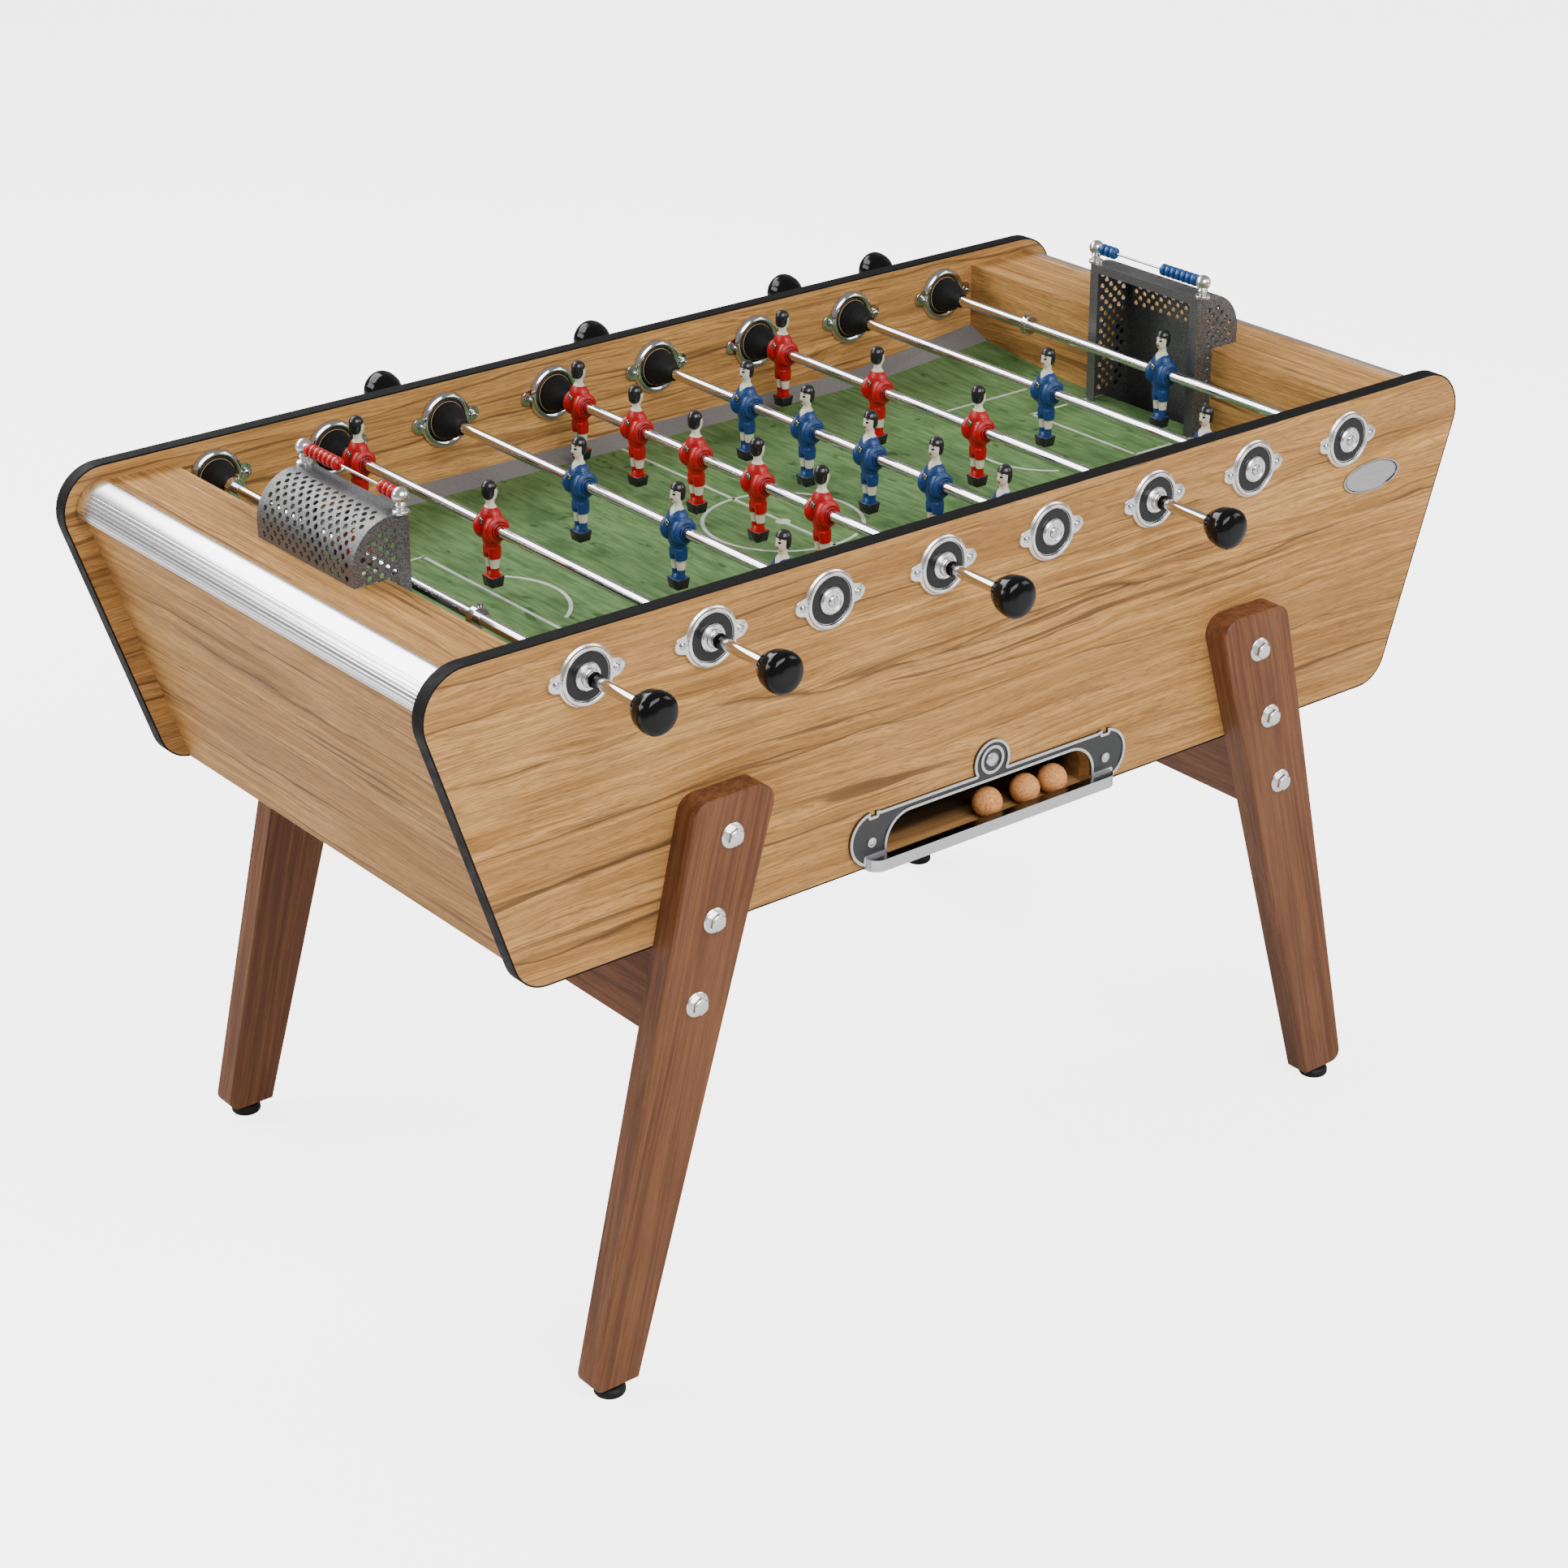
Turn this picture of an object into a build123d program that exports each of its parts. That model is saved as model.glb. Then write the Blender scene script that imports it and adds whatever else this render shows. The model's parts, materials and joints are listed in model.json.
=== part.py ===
"""Eight-bar foosball table in the French style, one STEP file for each named piece.

Millimetres.  X runs along the table, Y across it, Z up.  The floor is Z = 0 and the
table is centred on X = Y = 0.  The ball tray is on the -Y side.
"""

import os

from build123d import *

# Cabinet
PANEL_OUT = 368.0        # outer face of each side panel, from the centre line
PANEL_T = 18.0
PANEL_IN = PANEL_OUT - PANEL_T
PANEL_TOP = 894.0
PANEL_BOTTOM = 514.0
SLOPE = 0.329            # outward lean of the cabinet's ends, X over Z
HALF_LENGTH_728 = 703.3  # half length of a side panel at Z = 728
TOP_CORNER_R = 52.0
BOTTOM_CORNER_R = 42.0
BAND_T = 2.0             # black edge band
END_OUT_514 = 606.0      # outer face of an end panel at the bottom edge
END_T = 19.0             # end panel measured along X
END_WALL_X = 598.0       # face of the inner end wall
DECK_TOP = 874.5
DECK_T = 18.0
DECK_OUT_X = 689.0
TRIM_OUT_X = 723.0
TRIM_LOW_Z = 842.0

# Playing field
FIELD_TOP = 764.5
FIELD_T = 12.0
STRIP_IN_Y = 316.0       # inner edge of the raised side strip
STRIP_RISE = 8.0
CORNER_X = 400.0         # where the corner ramps start
CORNER_RISE = 29.0
RAMP_RISE = 15.0
RAMP_END_Y = 160.0

# Bars
BAR_COUNT = 8
PITCH = 156.0
BAR_Z = 846.0
TUBE_R = 6.5
TUBE_BORE_R = 4.6
CORE_R = 4.5
TUBE_END = 361.0         # closed end of a tube when its bar is pushed in
KNOB_START = 458.0
KNOB_LENGTH = 42.0
KNOB_R = 23.5
COLLAR_R = 12.0
COLLAR_W = 10.0
COLLAR_FROM_MAN = 242.0
OUTER_MAN_Y = 293.0      # the outermost figure of a pushed-in bar
MEN = {1: (1, 0.0), 2: (2, 269.0), 3: (3, 184.0), 4: (5, 115.0)}
PLAYERS = {1: 1, 2: 2, 3: 3, 4: 4, 5: 4, 6: 3, 7: 2, 8: 1}
RED_BARS = (1, 2, 4, 6)
GOALIE_Y = 62.0
CORE_OVERLAP = 45.0

# Bearings
EAR_X = 37.2
SLEEVE_R = 16.0
BUSH_R = 7.6

# Goals
GOAL_FRONT_X = 570.0
GOAL_BACK_X = 640.0
GOAL_HALF_W = 95.0
GOAL_TOP = 943.0
GOAL_LOW = 742.0
GOAL_SHEET = 2.0
GOAL_POST_W = 16.0
GOAL_BAR_H = 18.0
GOAL_HOOD_R = 50.0
FINIAL_X = 578.0
FINIAL_R = 9.3
WIRE_Z = 962.0
BEAD_R = 7.5
BEAD_W = 8.8

# Ball tray
TRAY_HALF_W = 153.0
TRAY_TOP = 569.0
TRAY_FLOOR = 516.0
LIP_OUT_Y = 386.0
LIP_TOP = 528.0
LIP_HALF_W = 182.0
TRAY_SCREW_X = 174.0
TRAY_SCREW_Z = 545.5
BALL_R = 17.5
BALL_X = (7.5, 64.0, 106.0)

# Legs
LEG_T = 32.0
LEG_TOP = 678.0
LEG_BOTTOM = 14.0
LEG_BOLTS = ((387.7, 631.9), (412.4, 540.3), (436.8, 448.8))
FOOT_X = 551.0
FOOT_R = 18.0
STRETCHER_LOW = 401.5
BOLT_R = 4.0


def bar_x(number):
    return (number - (BAR_COUNT + 1) / 2) * PITCH


def half_length(z):
    return HALF_LENGTH_728 + SLOPE * (z - 728.0)


def end_out(z):
    return END_OUT_514 + SLOPE * (z - PANEL_BOTTOM)


def box(x0, x1, y0, y1, z0, z1):
    return Pos((x0 + x1) / 2, (y0 + y1) / 2, (z0 + z1) / 2) * Box(x1 - x0, y1 - y0, z1 - z0)


def polygon(points):
    return make_face(Polyline(*points, close=True))


def wall(sketch, y_front, thickness):
    """A sketch drawn in X and Z, given its thickness along +Y."""
    return Pos(0, y_front + thickness, 0) * extrude(Plane.XZ * sketch, amount=thickness)


def turned(points):
    """A solid of revolution about Y from (radius, y) points."""
    return revolve(polygon(points), Axis.Y)


def on_side(solid, x, side):
    """Put a piece made about the Y axis on one side panel's outer face, +Y outward."""
    return Pos(x, side * PANEL_OUT, BAR_Z) * Rot(0, 0, 180 if side < 0 else 0) * solid


def solid_of(points, faces):
    """A closed solid from corner points and the corner numbers of each flat face."""
    return Solid(Shell([polygon([points[i] for i in face]) for face in faces]))


def save(name, pieces):
    solids = []
    for piece in pieces:
        solids.extend(piece.solids())
    export_step(Compound(children=solids), f"parts/{name}.step")


def handle_side(number):
    """-1 where the knob is on the tray side, +1 on the far side."""
    return -1 if number in RED_BARS else 1


def men_positions(number):
    """The figures' Y positions on a pushed-in bar."""
    count, spacing = MEN[PLAYERS[number]]
    away = -handle_side(number)
    if count == 1:
        return [away * GOALIE_Y]
    return [away * (OUTER_MAN_Y - i * spacing) for i in range(count)]


def travel(number):
    """How far a bar pulls out."""
    ys = men_positions(number)
    return abs(ys[0] + ys[-1])


# ---------------------------------------------------------------- cabinet


def panel_outline(inset):
    top = PANEL_TOP
    low = PANEL_BOTTOM
    sketch = polygon([
        (-half_length(top), top),
        (half_length(top), top),
        (half_length(low), low),
        (-half_length(low), low),
    ])
    corners = sketch.vertices().sort_by(Axis.Y)
    sketch = fillet(corners[2:], TOP_CORNER_R)
    sketch = fillet(sketch.vertices().sort_by(Axis.Y)[:2], BOTTOM_CORNER_R)
    if inset:
        sketch = offset(sketch, amount=-inset)
    return sketch


def tray_opening():
    sketch = Pos(0, (TRAY_TOP + 480) / 2) * Rectangle(2 * TRAY_HALF_W, TRAY_TOP - 480)
    return fillet(sketch.vertices().sort_by(Axis.Y)[2:], 34)


def side_panel(front):
    sketch = panel_outline(BAND_T)
    for number in range(1, BAR_COUNT + 1):
        sketch -= Pos(bar_x(number), BAR_Z) * Circle(SLEEVE_R + 0.3)
        for ear in (-EAR_X, EAR_X):
            sketch -= Pos(bar_x(number) + ear, BAR_Z) * Circle(2.6)
    for x, z in LEG_BOLTS[:2]:
        for end in (-1, 1):
            sketch -= Pos(end * x, z) * Circle(BOLT_R + 0.1)
    if front:
        sketch -= tray_opening()
        for x in (-TRAY_SCREW_X, TRAY_SCREW_X):
            sketch -= Pos(x, TRAY_SCREW_Z) * Circle(2.6)
    return wall(sketch, -PANEL_OUT if front else PANEL_IN, PANEL_T)


def edge_bands():
    ring = panel_outline(0) - panel_outline(BAND_T)
    front = wall(ring, -PANEL_OUT, PANEL_T)
    front -= box(-TRAY_HALF_W, TRAY_HALF_W, -400, -300, 500, 520)
    return [front, wall(ring, PANEL_IN, PANEL_T)]


def end_panel(end):
    top = DECK_TOP - DECK_T
    low = PANEL_BOTTOM
    sketch = polygon([
        (end * end_out(low), low),
        (end * end_out(top), top),
        (end * (end_out(top) - END_T), top),
        (end * (end_out(low) - END_T), low),
    ])
    return wall(sketch, -PANEL_IN, 2 * PANEL_IN)


def end_deck(end):
    """Deck boards and upright inner end walls, parted where the goal stands."""
    opening = GOAL_HALF_W + 0.3
    x0 = END_WALL_X
    low = DECK_TOP - DECK_T
    pieces = [box(GOAL_BACK_X + 0.3, DECK_OUT_X, -opening, opening, low, DECK_TOP)]
    for near, far in ((-PANEL_IN, -opening), (opening, PANEL_IN)):
        pieces.append(box(x0, DECK_OUT_X, near, far, low, DECK_TOP))
        pieces.append(box(x0, x0 + 18, near, far, 690, low))
    if end < 0:
        pieces = [mirror(piece, Plane.YZ) for piece in pieces]
    return pieces


def end_trim(end):
    """Bull-nosed aluminium section over the joint of the deck and the end panel."""
    top = DECK_TOP + 5.0
    face = end_out(TRIM_LOW_Z)
    lip = end_out(TRIM_LOW_Z + 14)
    out = Line((DECK_OUT_X, DECK_TOP - DECK_T), (DECK_OUT_X, top))
    crown = ThreePointArc((DECK_OUT_X, top), (TRIM_OUT_X - 10, top - 11), (TRIM_OUT_X, TRIM_LOW_Z))
    under = Polyline(
        (TRIM_OUT_X, TRIM_LOW_Z),
        (face + 0.1, TRIM_LOW_Z),
        (lip + 0.1, TRIM_LOW_Z + 14),
        (end_out(DECK_TOP - DECK_T), DECK_TOP - DECK_T),
        (DECK_OUT_X, DECK_TOP - DECK_T),
    )
    trim = wall(make_face([out, crown, under]), -PANEL_IN, 2 * PANEL_IN)
    return trim if end > 0 else mirror(trim, Plane.YZ)


def bottom_panels():
    x1 = end_out(PANEL_BOTTOM) - END_T
    right = box(TRAY_HALF_W + 8, x1, -PANEL_IN, PANEL_IN, PANEL_BOTTOM, PANEL_BOTTOM + 10)
    return [right, mirror(right, Plane.YZ)]


def ball_return():
    """Two boards that lead the balls inward, and the trough that leads them to the tray."""
    board = wall(
        polygon([
            (TRAY_HALF_W, 559), (612, 610), (612, 602), (TRAY_HALF_W, 551),
        ]),
        -PANEL_IN,
        2 * PANEL_IN,
    )
    side = box(TRAY_HALF_W, TRAY_HALF_W + 8, -PANEL_IN, PANEL_IN, PANEL_BOTTOM, 551)
    low = TRAY_FLOOR - 8
    floor = Plane.YZ * polygon([
        (-LIP_OUT_Y + 12, TRAY_FLOOR),
        (-PANEL_IN, TRAY_FLOOR),
        (PANEL_IN, TRAY_FLOOR + 32),
        (PANEL_IN, low + 32),
        (-PANEL_IN, low),
        (-LIP_OUT_Y + 12, low),
    ])
    floor = extrude(floor, amount=TRAY_HALF_W - 0.2, both=True)
    return [board, mirror(board, Plane.YZ), side, mirror(side, Plane.YZ), floor]


# ---------------------------------------------------------------- field


def field_ramps():
    """Raised strips along both sides and the four raised corners."""
    x0, x1 = CORNER_X, END_WALL_X
    y0, y1 = STRIP_IN_Y, PANEL_IN
    z0 = FIELD_TOP
    strip = Plane.YZ * polygon([(y0, z0), (y1, z0), (y1, z0 + STRIP_RISE)])
    strip = extrude(strip, amount=x0, both=True)
    end = solid_of(
        [
            (x0, y0, z0), (x0, y1, z0), (x0, y1, z0 + STRIP_RISE),
            (x1, y0, z0), (x1, y1, z0), (x1, y1, z0 + CORNER_RISE), (x1, y0, z0 + RAMP_RISE),
        ],
        [(0, 1, 2), (3, 4, 5, 6), (0, 1, 4, 3), (1, 2, 5, 4), (0, 3, 6), (0, 2, 5), (0, 5, 6)],
    )
    corner = solid_of(
        [(x0, y0, z0), (x1, y0, z0), (x1, RAMP_END_Y, z0), (x1, y0, z0 + RAMP_RISE)],
        [(0, 1, 2), (0, 1, 3), (0, 2, 3), (1, 2, 3)],
    )
    pieces = [strip, mirror(strip, Plane.XZ)]
    for piece in (end, corner):
        across = mirror(piece, Plane.XZ)
        pieces += [piece, across, mirror(piece, Plane.YZ), mirror(across, Plane.YZ)]
    return pieces


# ---------------------------------------------------------------- bearings


def ears(y0, y1):
    bar = extrude(
        Plane.XZ * (Rectangle(2 * EAR_X, 15) + Pos(EAR_X, 0) * Circle(8) + Pos(-EAR_X, 0) * Circle(8)),
        amount=y1 - y0,
    )
    bar = Pos(0, y1, 0) * bar
    bar -= Rot(90, 0, 0) * Cylinder(27, 100)
    for x in (-EAR_X, EAR_X):
        bar -= Pos(x, 0, 0) * Rot(90, 0, 0) * Cylinder(2.6, 100)
    return bar


RIM = [(SLEEVE_R, -17.8), (SLEEVE_R, 0), (34, 0), (34, 3), (31, 6.5), (28.5, 7.5), (27, 6), (26, 4.5)]


def open_plate():
    """Outer cast plate that the bar passes through."""
    return turned([(7.7, -17.8)] + RIM + [
        (15, 4.5), (14.2, 8.5), (12.8, 9.5), (10.2, 9.5), (10.2, 8), (8.9, 8), (8.9, 16), (7.7, 16),
    ]) + ears(0, 4.5)


def closed_plate():
    """Outer cast plate that carries the end of a bar's core rod."""
    return turned([(2.6, 2), (CORE_R + 0.05, 2), (CORE_R + 0.05, -6), (7.7, -6), (7.7, -17.8)] + RIM + [
        (15, 4.5), (14.2, 8.5), (12.8, 9.5), (8, 9.5), (8, 7), (2.6, 7),
    ]) + ears(0, 4.5)


def bearing_plates():
    pieces = []
    for number in range(1, BAR_COUNT + 1):
        side = handle_side(number)
        pieces.append(on_side(open_plate(), bar_x(number), side))
        pieces.append(on_side(closed_plate(), bar_x(number), -side))
    return pieces


def inner_flange():
    ring = turned([
        (23.5, -18), (34, -18), (34, -20), (32.5, -23), (30, -25.2), (27.5, -25.6), (25, -24.6),
        (23.5, -22),
    ])
    return ring + ears(-22.5, -18)


def bearing_bolt():
    head = turned([(0, -20), (2.5, -20), (2.5, 4.5), (3.9, 4.5), (3.7, 6.3), (2.8, 7.2), (0, 7.6)])
    nut = Pos(0, -27.5, 0) * extrude(Plane.XZ * RegularPolygon(4.2, 6), amount=-5)
    tip = turned([(0, -32), (1.6, -31.4), (2.5, -29.6), (2.5, -20), (0, -20)])
    return head + nut + tip


def bush(outer_end, collar):
    """Black bush: the liner through the panel and the soft boot on the inside."""
    bore = TUBE_R + 0.05
    if collar:
        start = [(bore, 24), (8.3, 24), (8.5, 23), (8.5, 16.2), (BUSH_R, 16.2)]
    else:
        start = [(bore, outer_end), (BUSH_R, outer_end)]
    return turned(start + [
        (BUSH_R, -18), (22.3, -18), (22.5, -21), (21.8, -27), (20, -34), (17, -41), (13.4, -47),
        (10.4, -51.5), (9.2, -54.5), (9, -57.5), (bore, -57.5),
    ])


def rod_bushes():
    pieces = []
    for number in range(1, BAR_COUNT + 1):
        side = handle_side(number)
        pieces.append(on_side(bush(24, True), bar_x(number), side))
        pieces.append(on_side(bush(-6.2, False), bar_x(number), -side))
    return pieces


# ---------------------------------------------------------------- bars


def bar_core(number):
    """Inner rod that turns in the closed plate, with its end screw."""
    length = travel(number) + CORE_OVERLAP
    inner = TUBE_END - length - PANEL_OUT
    core = turned([
        (0, inner), (CORE_R - 0.5, inner), (CORE_R, inner + 0.5), (CORE_R, 1.8), (2.5, 1.8), (2.5, 7.2),
        (6.2, 7.2), (6, 9.4), (4.6, 10.4), (0, 10.8),
    ])
    core -= Pos(0, 10.6, 0) * Box(1.4, 2, 14)
    return on_side(core, bar_x(number), -handle_side(number))


def bar_tube(number):
    side = handle_side(number)
    start = -TUBE_END - PANEL_OUT
    end = KNOB_START + 30 - PANEL_OUT
    tube = turned([
        (TUBE_BORE_R, start), (TUBE_R, start), (TUBE_R, end), (0, end), (0, end - 20),
        (TUBE_BORE_R, end - 20),
    ])
    pieces = [tube]
    if PLAYERS[number] == 1:
        man = side * men_positions(number)[0] - PANEL_OUT
        for shift in (-COLLAR_FROM_MAN, COLLAR_FROM_MAN):
            y = man + shift
            collar = turned([
                (TUBE_R + 0.02, y - COLLAR_W / 2), (COLLAR_R - 0.8, y - COLLAR_W / 2),
                (COLLAR_R, y - COLLAR_W / 2 + 0.8), (COLLAR_R, y + COLLAR_W / 2 - 0.8),
                (COLLAR_R - 0.8, y + COLLAR_W / 2), (TUBE_R + 0.02, y + COLLAR_W / 2),
            ])
            collar += Pos(-4, y, COLLAR_R) * Cylinder(3, 6)
            pieces.append(collar - Pos(0, y, 0) * Rot(90, 0, 0) * Cylinder(TUBE_R + 0.02, 20))
    return [on_side(piece, bar_x(number), side) for piece in pieces]


def bar_knob(number):
    """Black handle, widest near its crowned end."""
    y = KNOB_START - PANEL_OUT
    bore = TUBE_R + 0.02
    side = Spline(
        (10.5, y), (16.2, y + 6), (21.2, y + 16), (KNOB_R, y + 29), (22.9, y + 34),
    )
    crown = Spline((22.9, y + 34), (21.2, y + 37.6), (14, y + 40.6), (0, y + KNOB_LENGTH))
    inside = Polyline((0, y + KNOB_LENGTH), (0, y + 30.1), (bore, y + 30.1), (bore, y), (10.5, y))
    knob = revolve(make_face([side, crown, inside]), Axis.Y)
    return on_side(knob, bar_x(number), handle_side(number))


def ellipse_loft(levels):
    """A solid through horizontal ellipses given as (z, x radius, y radius)."""
    return loft([Pos(0, 0, z) * Ellipse(rx, ry) for z, rx, ry in levels])


def man():
    """One figure about the bar's axis, facing +X."""
    body = ellipse_loft([
        (-24, 8.4, 10.6), (-14, 9.6, 11.6), (0, 11.4, 12.4), (13, 10.6, 13.6),
        (22, 7.6, 10.4), (27, 5, 5.6),
    ])
    shorts = ellipse_loft([(-30, 7.6, 9.8), (-22, 8.2, 10.4)])
    shoulder = Rot(90, 0, 0) * Cylinder(15.6, 32)
    shoulder = chamfer(shoulder.edges().filter_by(GeomType.CIRCLE), 2.6)
    waist = Rot(90, 0, 0) * (Cylinder(17, 11) - Cylinder(11.6, 11))
    neck = Pos(0, 0, 28) * Cylinder(4.7, 8)
    head = revolve(
        make_face([
            Spline((0, 31), (5.4, 33), (7.6, 38), (8.9, 44), (7.6, 50.5), (4, 53.6), (0, 54.2)),
            Line((0, 54.2), (0, 31)),
        ]),
        Axis.Y,
    )
    head = Rot(90, 0, 0) * head
    legs = Pos(0, 0, -29) * Box(11.5, 16, 10)
    for y in (-4.6, 4.6):
        legs += Pos(0, y, 0) * ellipse_loft([(-57, 5.4, 4.4), (-46, 5, 4.2), (-28, 6.4, 5.2)])
    foot = loft([
        Pos(0.6, 0, -69.5) * Rectangle(15, 17),
        Pos(0.6, 0, -55.5) * Rectangle(18, 20),
    ])
    figure = body + shorts + (shoulder - waist) + neck + head + legs + foot
    for x in (-1, 1):
        figure += Pos(x * 9.5, 4.5, 9) * Rot(0, 90, 0) * Cylinder(3, 5)
    return figure - Rot(90, 0, 0) * Cylinder(TUBE_R + 0.02, 60)


# ---------------------------------------------------------------- goals


def goal_cage(end):
    """Sheet cage: two side plates, the hood that runs down as the back, and the front frame."""
    x0, x1 = GOAL_FRONT_X, GOAL_BACK_X
    sheet = GOAL_SHEET
    half = GOAL_HALF_W
    gap = half - GOAL_POST_W

    def profile(inset):
        height = GOAL_TOP - GOAL_LOW
        sketch = Pos((x0 + x1) / 2, GOAL_LOW + height / 2) * Rectangle(x1 - x0, height)
        corner = sketch.vertices().filter_by(lambda v: v.X > x0 + 1 and v.Y > GOAL_LOW + 1)
        sketch = fillet(corner, GOAL_HOOD_R)
        return offset(sketch, amount=-inset) if inset else sketch

    bend_x, bend_z = x1 - GOAL_HOOD_R, GOAL_TOP - GOAL_HOOD_R
    hood = wall(profile(0), -half + sheet, 2 * (half - sheet))
    hood -= wall(profile(sheet), -half, 2 * half)
    bend = hood & box(bend_x, x1, -half, half, bend_z, GOAL_TOP)
    back = box(x1 - sheet, x1, -half + sheet, half - sheet, GOAL_LOW, bend_z)
    roof = box(x0, bend_x, -half + sheet, half - sheet, GOAL_TOP - sheet, GOAL_TOP)
    lintel = box(x0, x0 + sheet, -half + sheet, half - sheet, GOAL_TOP - GOAL_BAR_H, GOAL_TOP - sheet)
    pieces = [bend, back, roof, lintel]
    for side in (-1, 1):
        plate = wall(profile(0), -half if side < 0 else half - sheet, sheet)
        plate -= box(x0 - 1, END_WALL_X + 0.3, -half - 1, half + 1, GOAL_LOW - 5, FIELD_TOP + 0.2)
        low, high = sorted((side * gap, side * (half - sheet)))
        post = box(x0, x0 + sheet, low, high, FIELD_TOP + 0.2, GOAL_TOP - GOAL_BAR_H)
        pieces += [plate, post]
    return pieces if end > 0 else [mirror(piece, Plane.YZ) for piece in pieces]


def finials_and_wires():
    pieces = []
    profile = [
        (0, GOAL_TOP), (8.6, GOAL_TOP), (8.6, GOAL_TOP + 2.6), (7, GOAL_TOP + 4), (4.6, GOAL_TOP + 5),
        (4.2, GOAL_TOP + 7), (5.2, GOAL_TOP + 9), (4.8, GOAL_TOP + 12), (0, GOAL_TOP + 12),
    ]
    base = Rot(90, 0, 0) * turned(profile)
    for end in (-1, 1):
        y = GOAL_HALF_W - 1
        for side in (-1, 1):
            ball = Pos(0, 0, WIRE_Z) * Sphere(FINIAL_R)
            pieces.append(Pos(end * FINIAL_X, side * y, 0) * (base + ball))
        wire = Rot(90, 0, 0) * Cylinder(1.6, 2 * (y - FINIAL_R + 0.3))
        pieces.append(Pos(end * FINIAL_X, 0, WIRE_Z) * wire)
    return pieces


def beads(end, side, count):
    """Scoring beads on a goal's wire, stacked against one finial."""
    bead = turned([
        (1.9, -4.2), (4.6, -4.2), (6.7, -3.1), (BEAD_R, -1.1),
        (BEAD_R, 1.1), (6.7, 3.1), (4.6, 4.2), (1.9, 4.2),
    ])
    first = GOAL_HALF_W - 1 - FINIAL_R - 4.6
    pieces = []
    for i in range(count):
        pieces.append(Pos(end * FINIAL_X, side * (first - i * BEAD_W), WIRE_Z) * bead)
    return pieces


# ---------------------------------------------------------------- ball tray


def tray_plate():
    middle = Pos(0, (517 + 580) / 2) * Rectangle(2 * 170, 580 - 517)
    lobe = Circle(32.5)
    sketch = middle + Pos(-172, 549.5) * lobe + Pos(172, 549.5) * lobe
    sketch += Pos(0, 592) * Circle(26)
    opening = tray_opening()
    sketch -= opening
    for x in (-1, 1):
        sketch -= Pos(x * TRAY_SCREW_X, TRAY_SCREW_Z) * Circle(2.6)
        sketch -= Pos(x * 172, 581) * Rectangle(9, 9)
    sketch -= Pos(0, 500) * Rectangle(2 * LIP_HALF_W + 0.4, 2 * (LIP_TOP - 500) + 0.2)
    plate = wall(sketch, -PANEL_OUT - 2.5, 2.5)
    border = wall(sketch - offset(sketch, amount=-3.2), -PANEL_OUT - 4, 1.5)
    emblem = wall(Pos(0, 594) * (Circle(17) - Circle(13.5)), -PANEL_OUT - 4, 1.5)
    badge = Rot(90, 0, 0) * turned_z([(0, 0), (9, 0), (7.5, 2.2), (4, 3.6), (0, 4)])
    badge = Pos(0, -PANEL_OUT - 2.5, 594) * badge
    pieces = [plate + border + emblem + badge]
    for x in (-1, 1):
        screw = turned([(0, -14), (2.5, -14), (2.5, 2.5), (4.6, 2.5), (4.2, 3.8), (2.4, 4.8), (0, 5)])
        pieces.append(Pos(x * TRAY_SCREW_X, -PANEL_OUT, TRAY_SCREW_Z) * Rot(0, 0, 180) * screw)
    return pieces


def turned_z(points):
    """A solid of revolution about Z from (radius, z) points."""
    return revolve(Plane.XZ * polygon(points), Axis.Z)


def tray_lip():
    """Aluminium bar across the front of the tray, with its two returns."""
    outer = box(-LIP_HALF_W, LIP_HALF_W, -LIP_OUT_Y, -PANEL_OUT, PANEL_BOTTOM, LIP_TOP)
    front = outer.edges().filter_by(Axis.Z).sort_by(Axis.Y)[:2]
    outer = fillet(front, 15)
    outer -= box(-TRAY_HALF_W, TRAY_HALF_W, -LIP_OUT_Y + 12, -300, 500, 540)
    return outer


def balls():
    pieces = []
    for x in BALL_X:
        pieces.append(Pos(x, -LIP_OUT_Y + 12.3 + BALL_R, TRAY_FLOOR + 0.3 + BALL_R) * Sphere(BALL_R))
    return pieces


def nameplate():
    sketch = Ellipse(47, 19)
    plate = Pos(594, -PANEL_OUT, 789) * extrude(Plane.XZ * sketch, amount=1.6)
    rim = Pos(594, -PANEL_OUT - 1.6, 789) * extrude(Plane.XZ * (sketch - Ellipse(44.5, 16.5)), amount=1)
    return plate + rim


# ---------------------------------------------------------------- stand


def leg():
    """Front leg of the +X end: a tapered board that leans outward."""
    top, low = LEG_TOP, LEG_BOTTOM
    sketch = polygon([
        (517.9 - 0.3 * (top - 27.5), top),
        (584.2 - 0.2314 * (top - 18.4), top),
        (584.2 - 0.2314 * (low - 18.4), low),
        (517.9 - 0.3 * (low - 27.5), low),
    ])
    sketch = fillet(sketch.vertices().sort_by(Axis.Y)[2:], 22)
    sketch = fillet(sketch.vertices().sort_by(Axis.Y)[:1], 14)
    for x, z in LEG_BOLTS:
        sketch -= Pos(x, z) * Circle(BOLT_R + 0.1)
    board = wall(sketch, -PANEL_OUT - LEG_T, LEG_T)
    board = chamfer(board.faces().sort_by(Axis.Y)[0].outer_wire().edges(), 2)
    stem = Pos(FOOT_X, -PANEL_OUT - LEG_T / 2, LEG_BOTTOM + 15) * Cylinder(5.2, 32)
    return board - stem


def four(piece):
    across = mirror(piece, Plane.XZ)
    return [piece, across, mirror(piece, Plane.YZ), mirror(across, Plane.YZ)]


def levelling_foot():
    pad = turned_z([
        (0, 0), (16.5, 0), (FOOT_R, 1.6), (FOOT_R, 7), (16, 10), (9, 12), (9, LEG_BOTTOM), (5, LEG_BOTTOM),
        (5, 42), (0, 42),
    ])
    return Pos(FOOT_X, -PANEL_OUT - LEG_T / 2, 0) * pad


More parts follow.
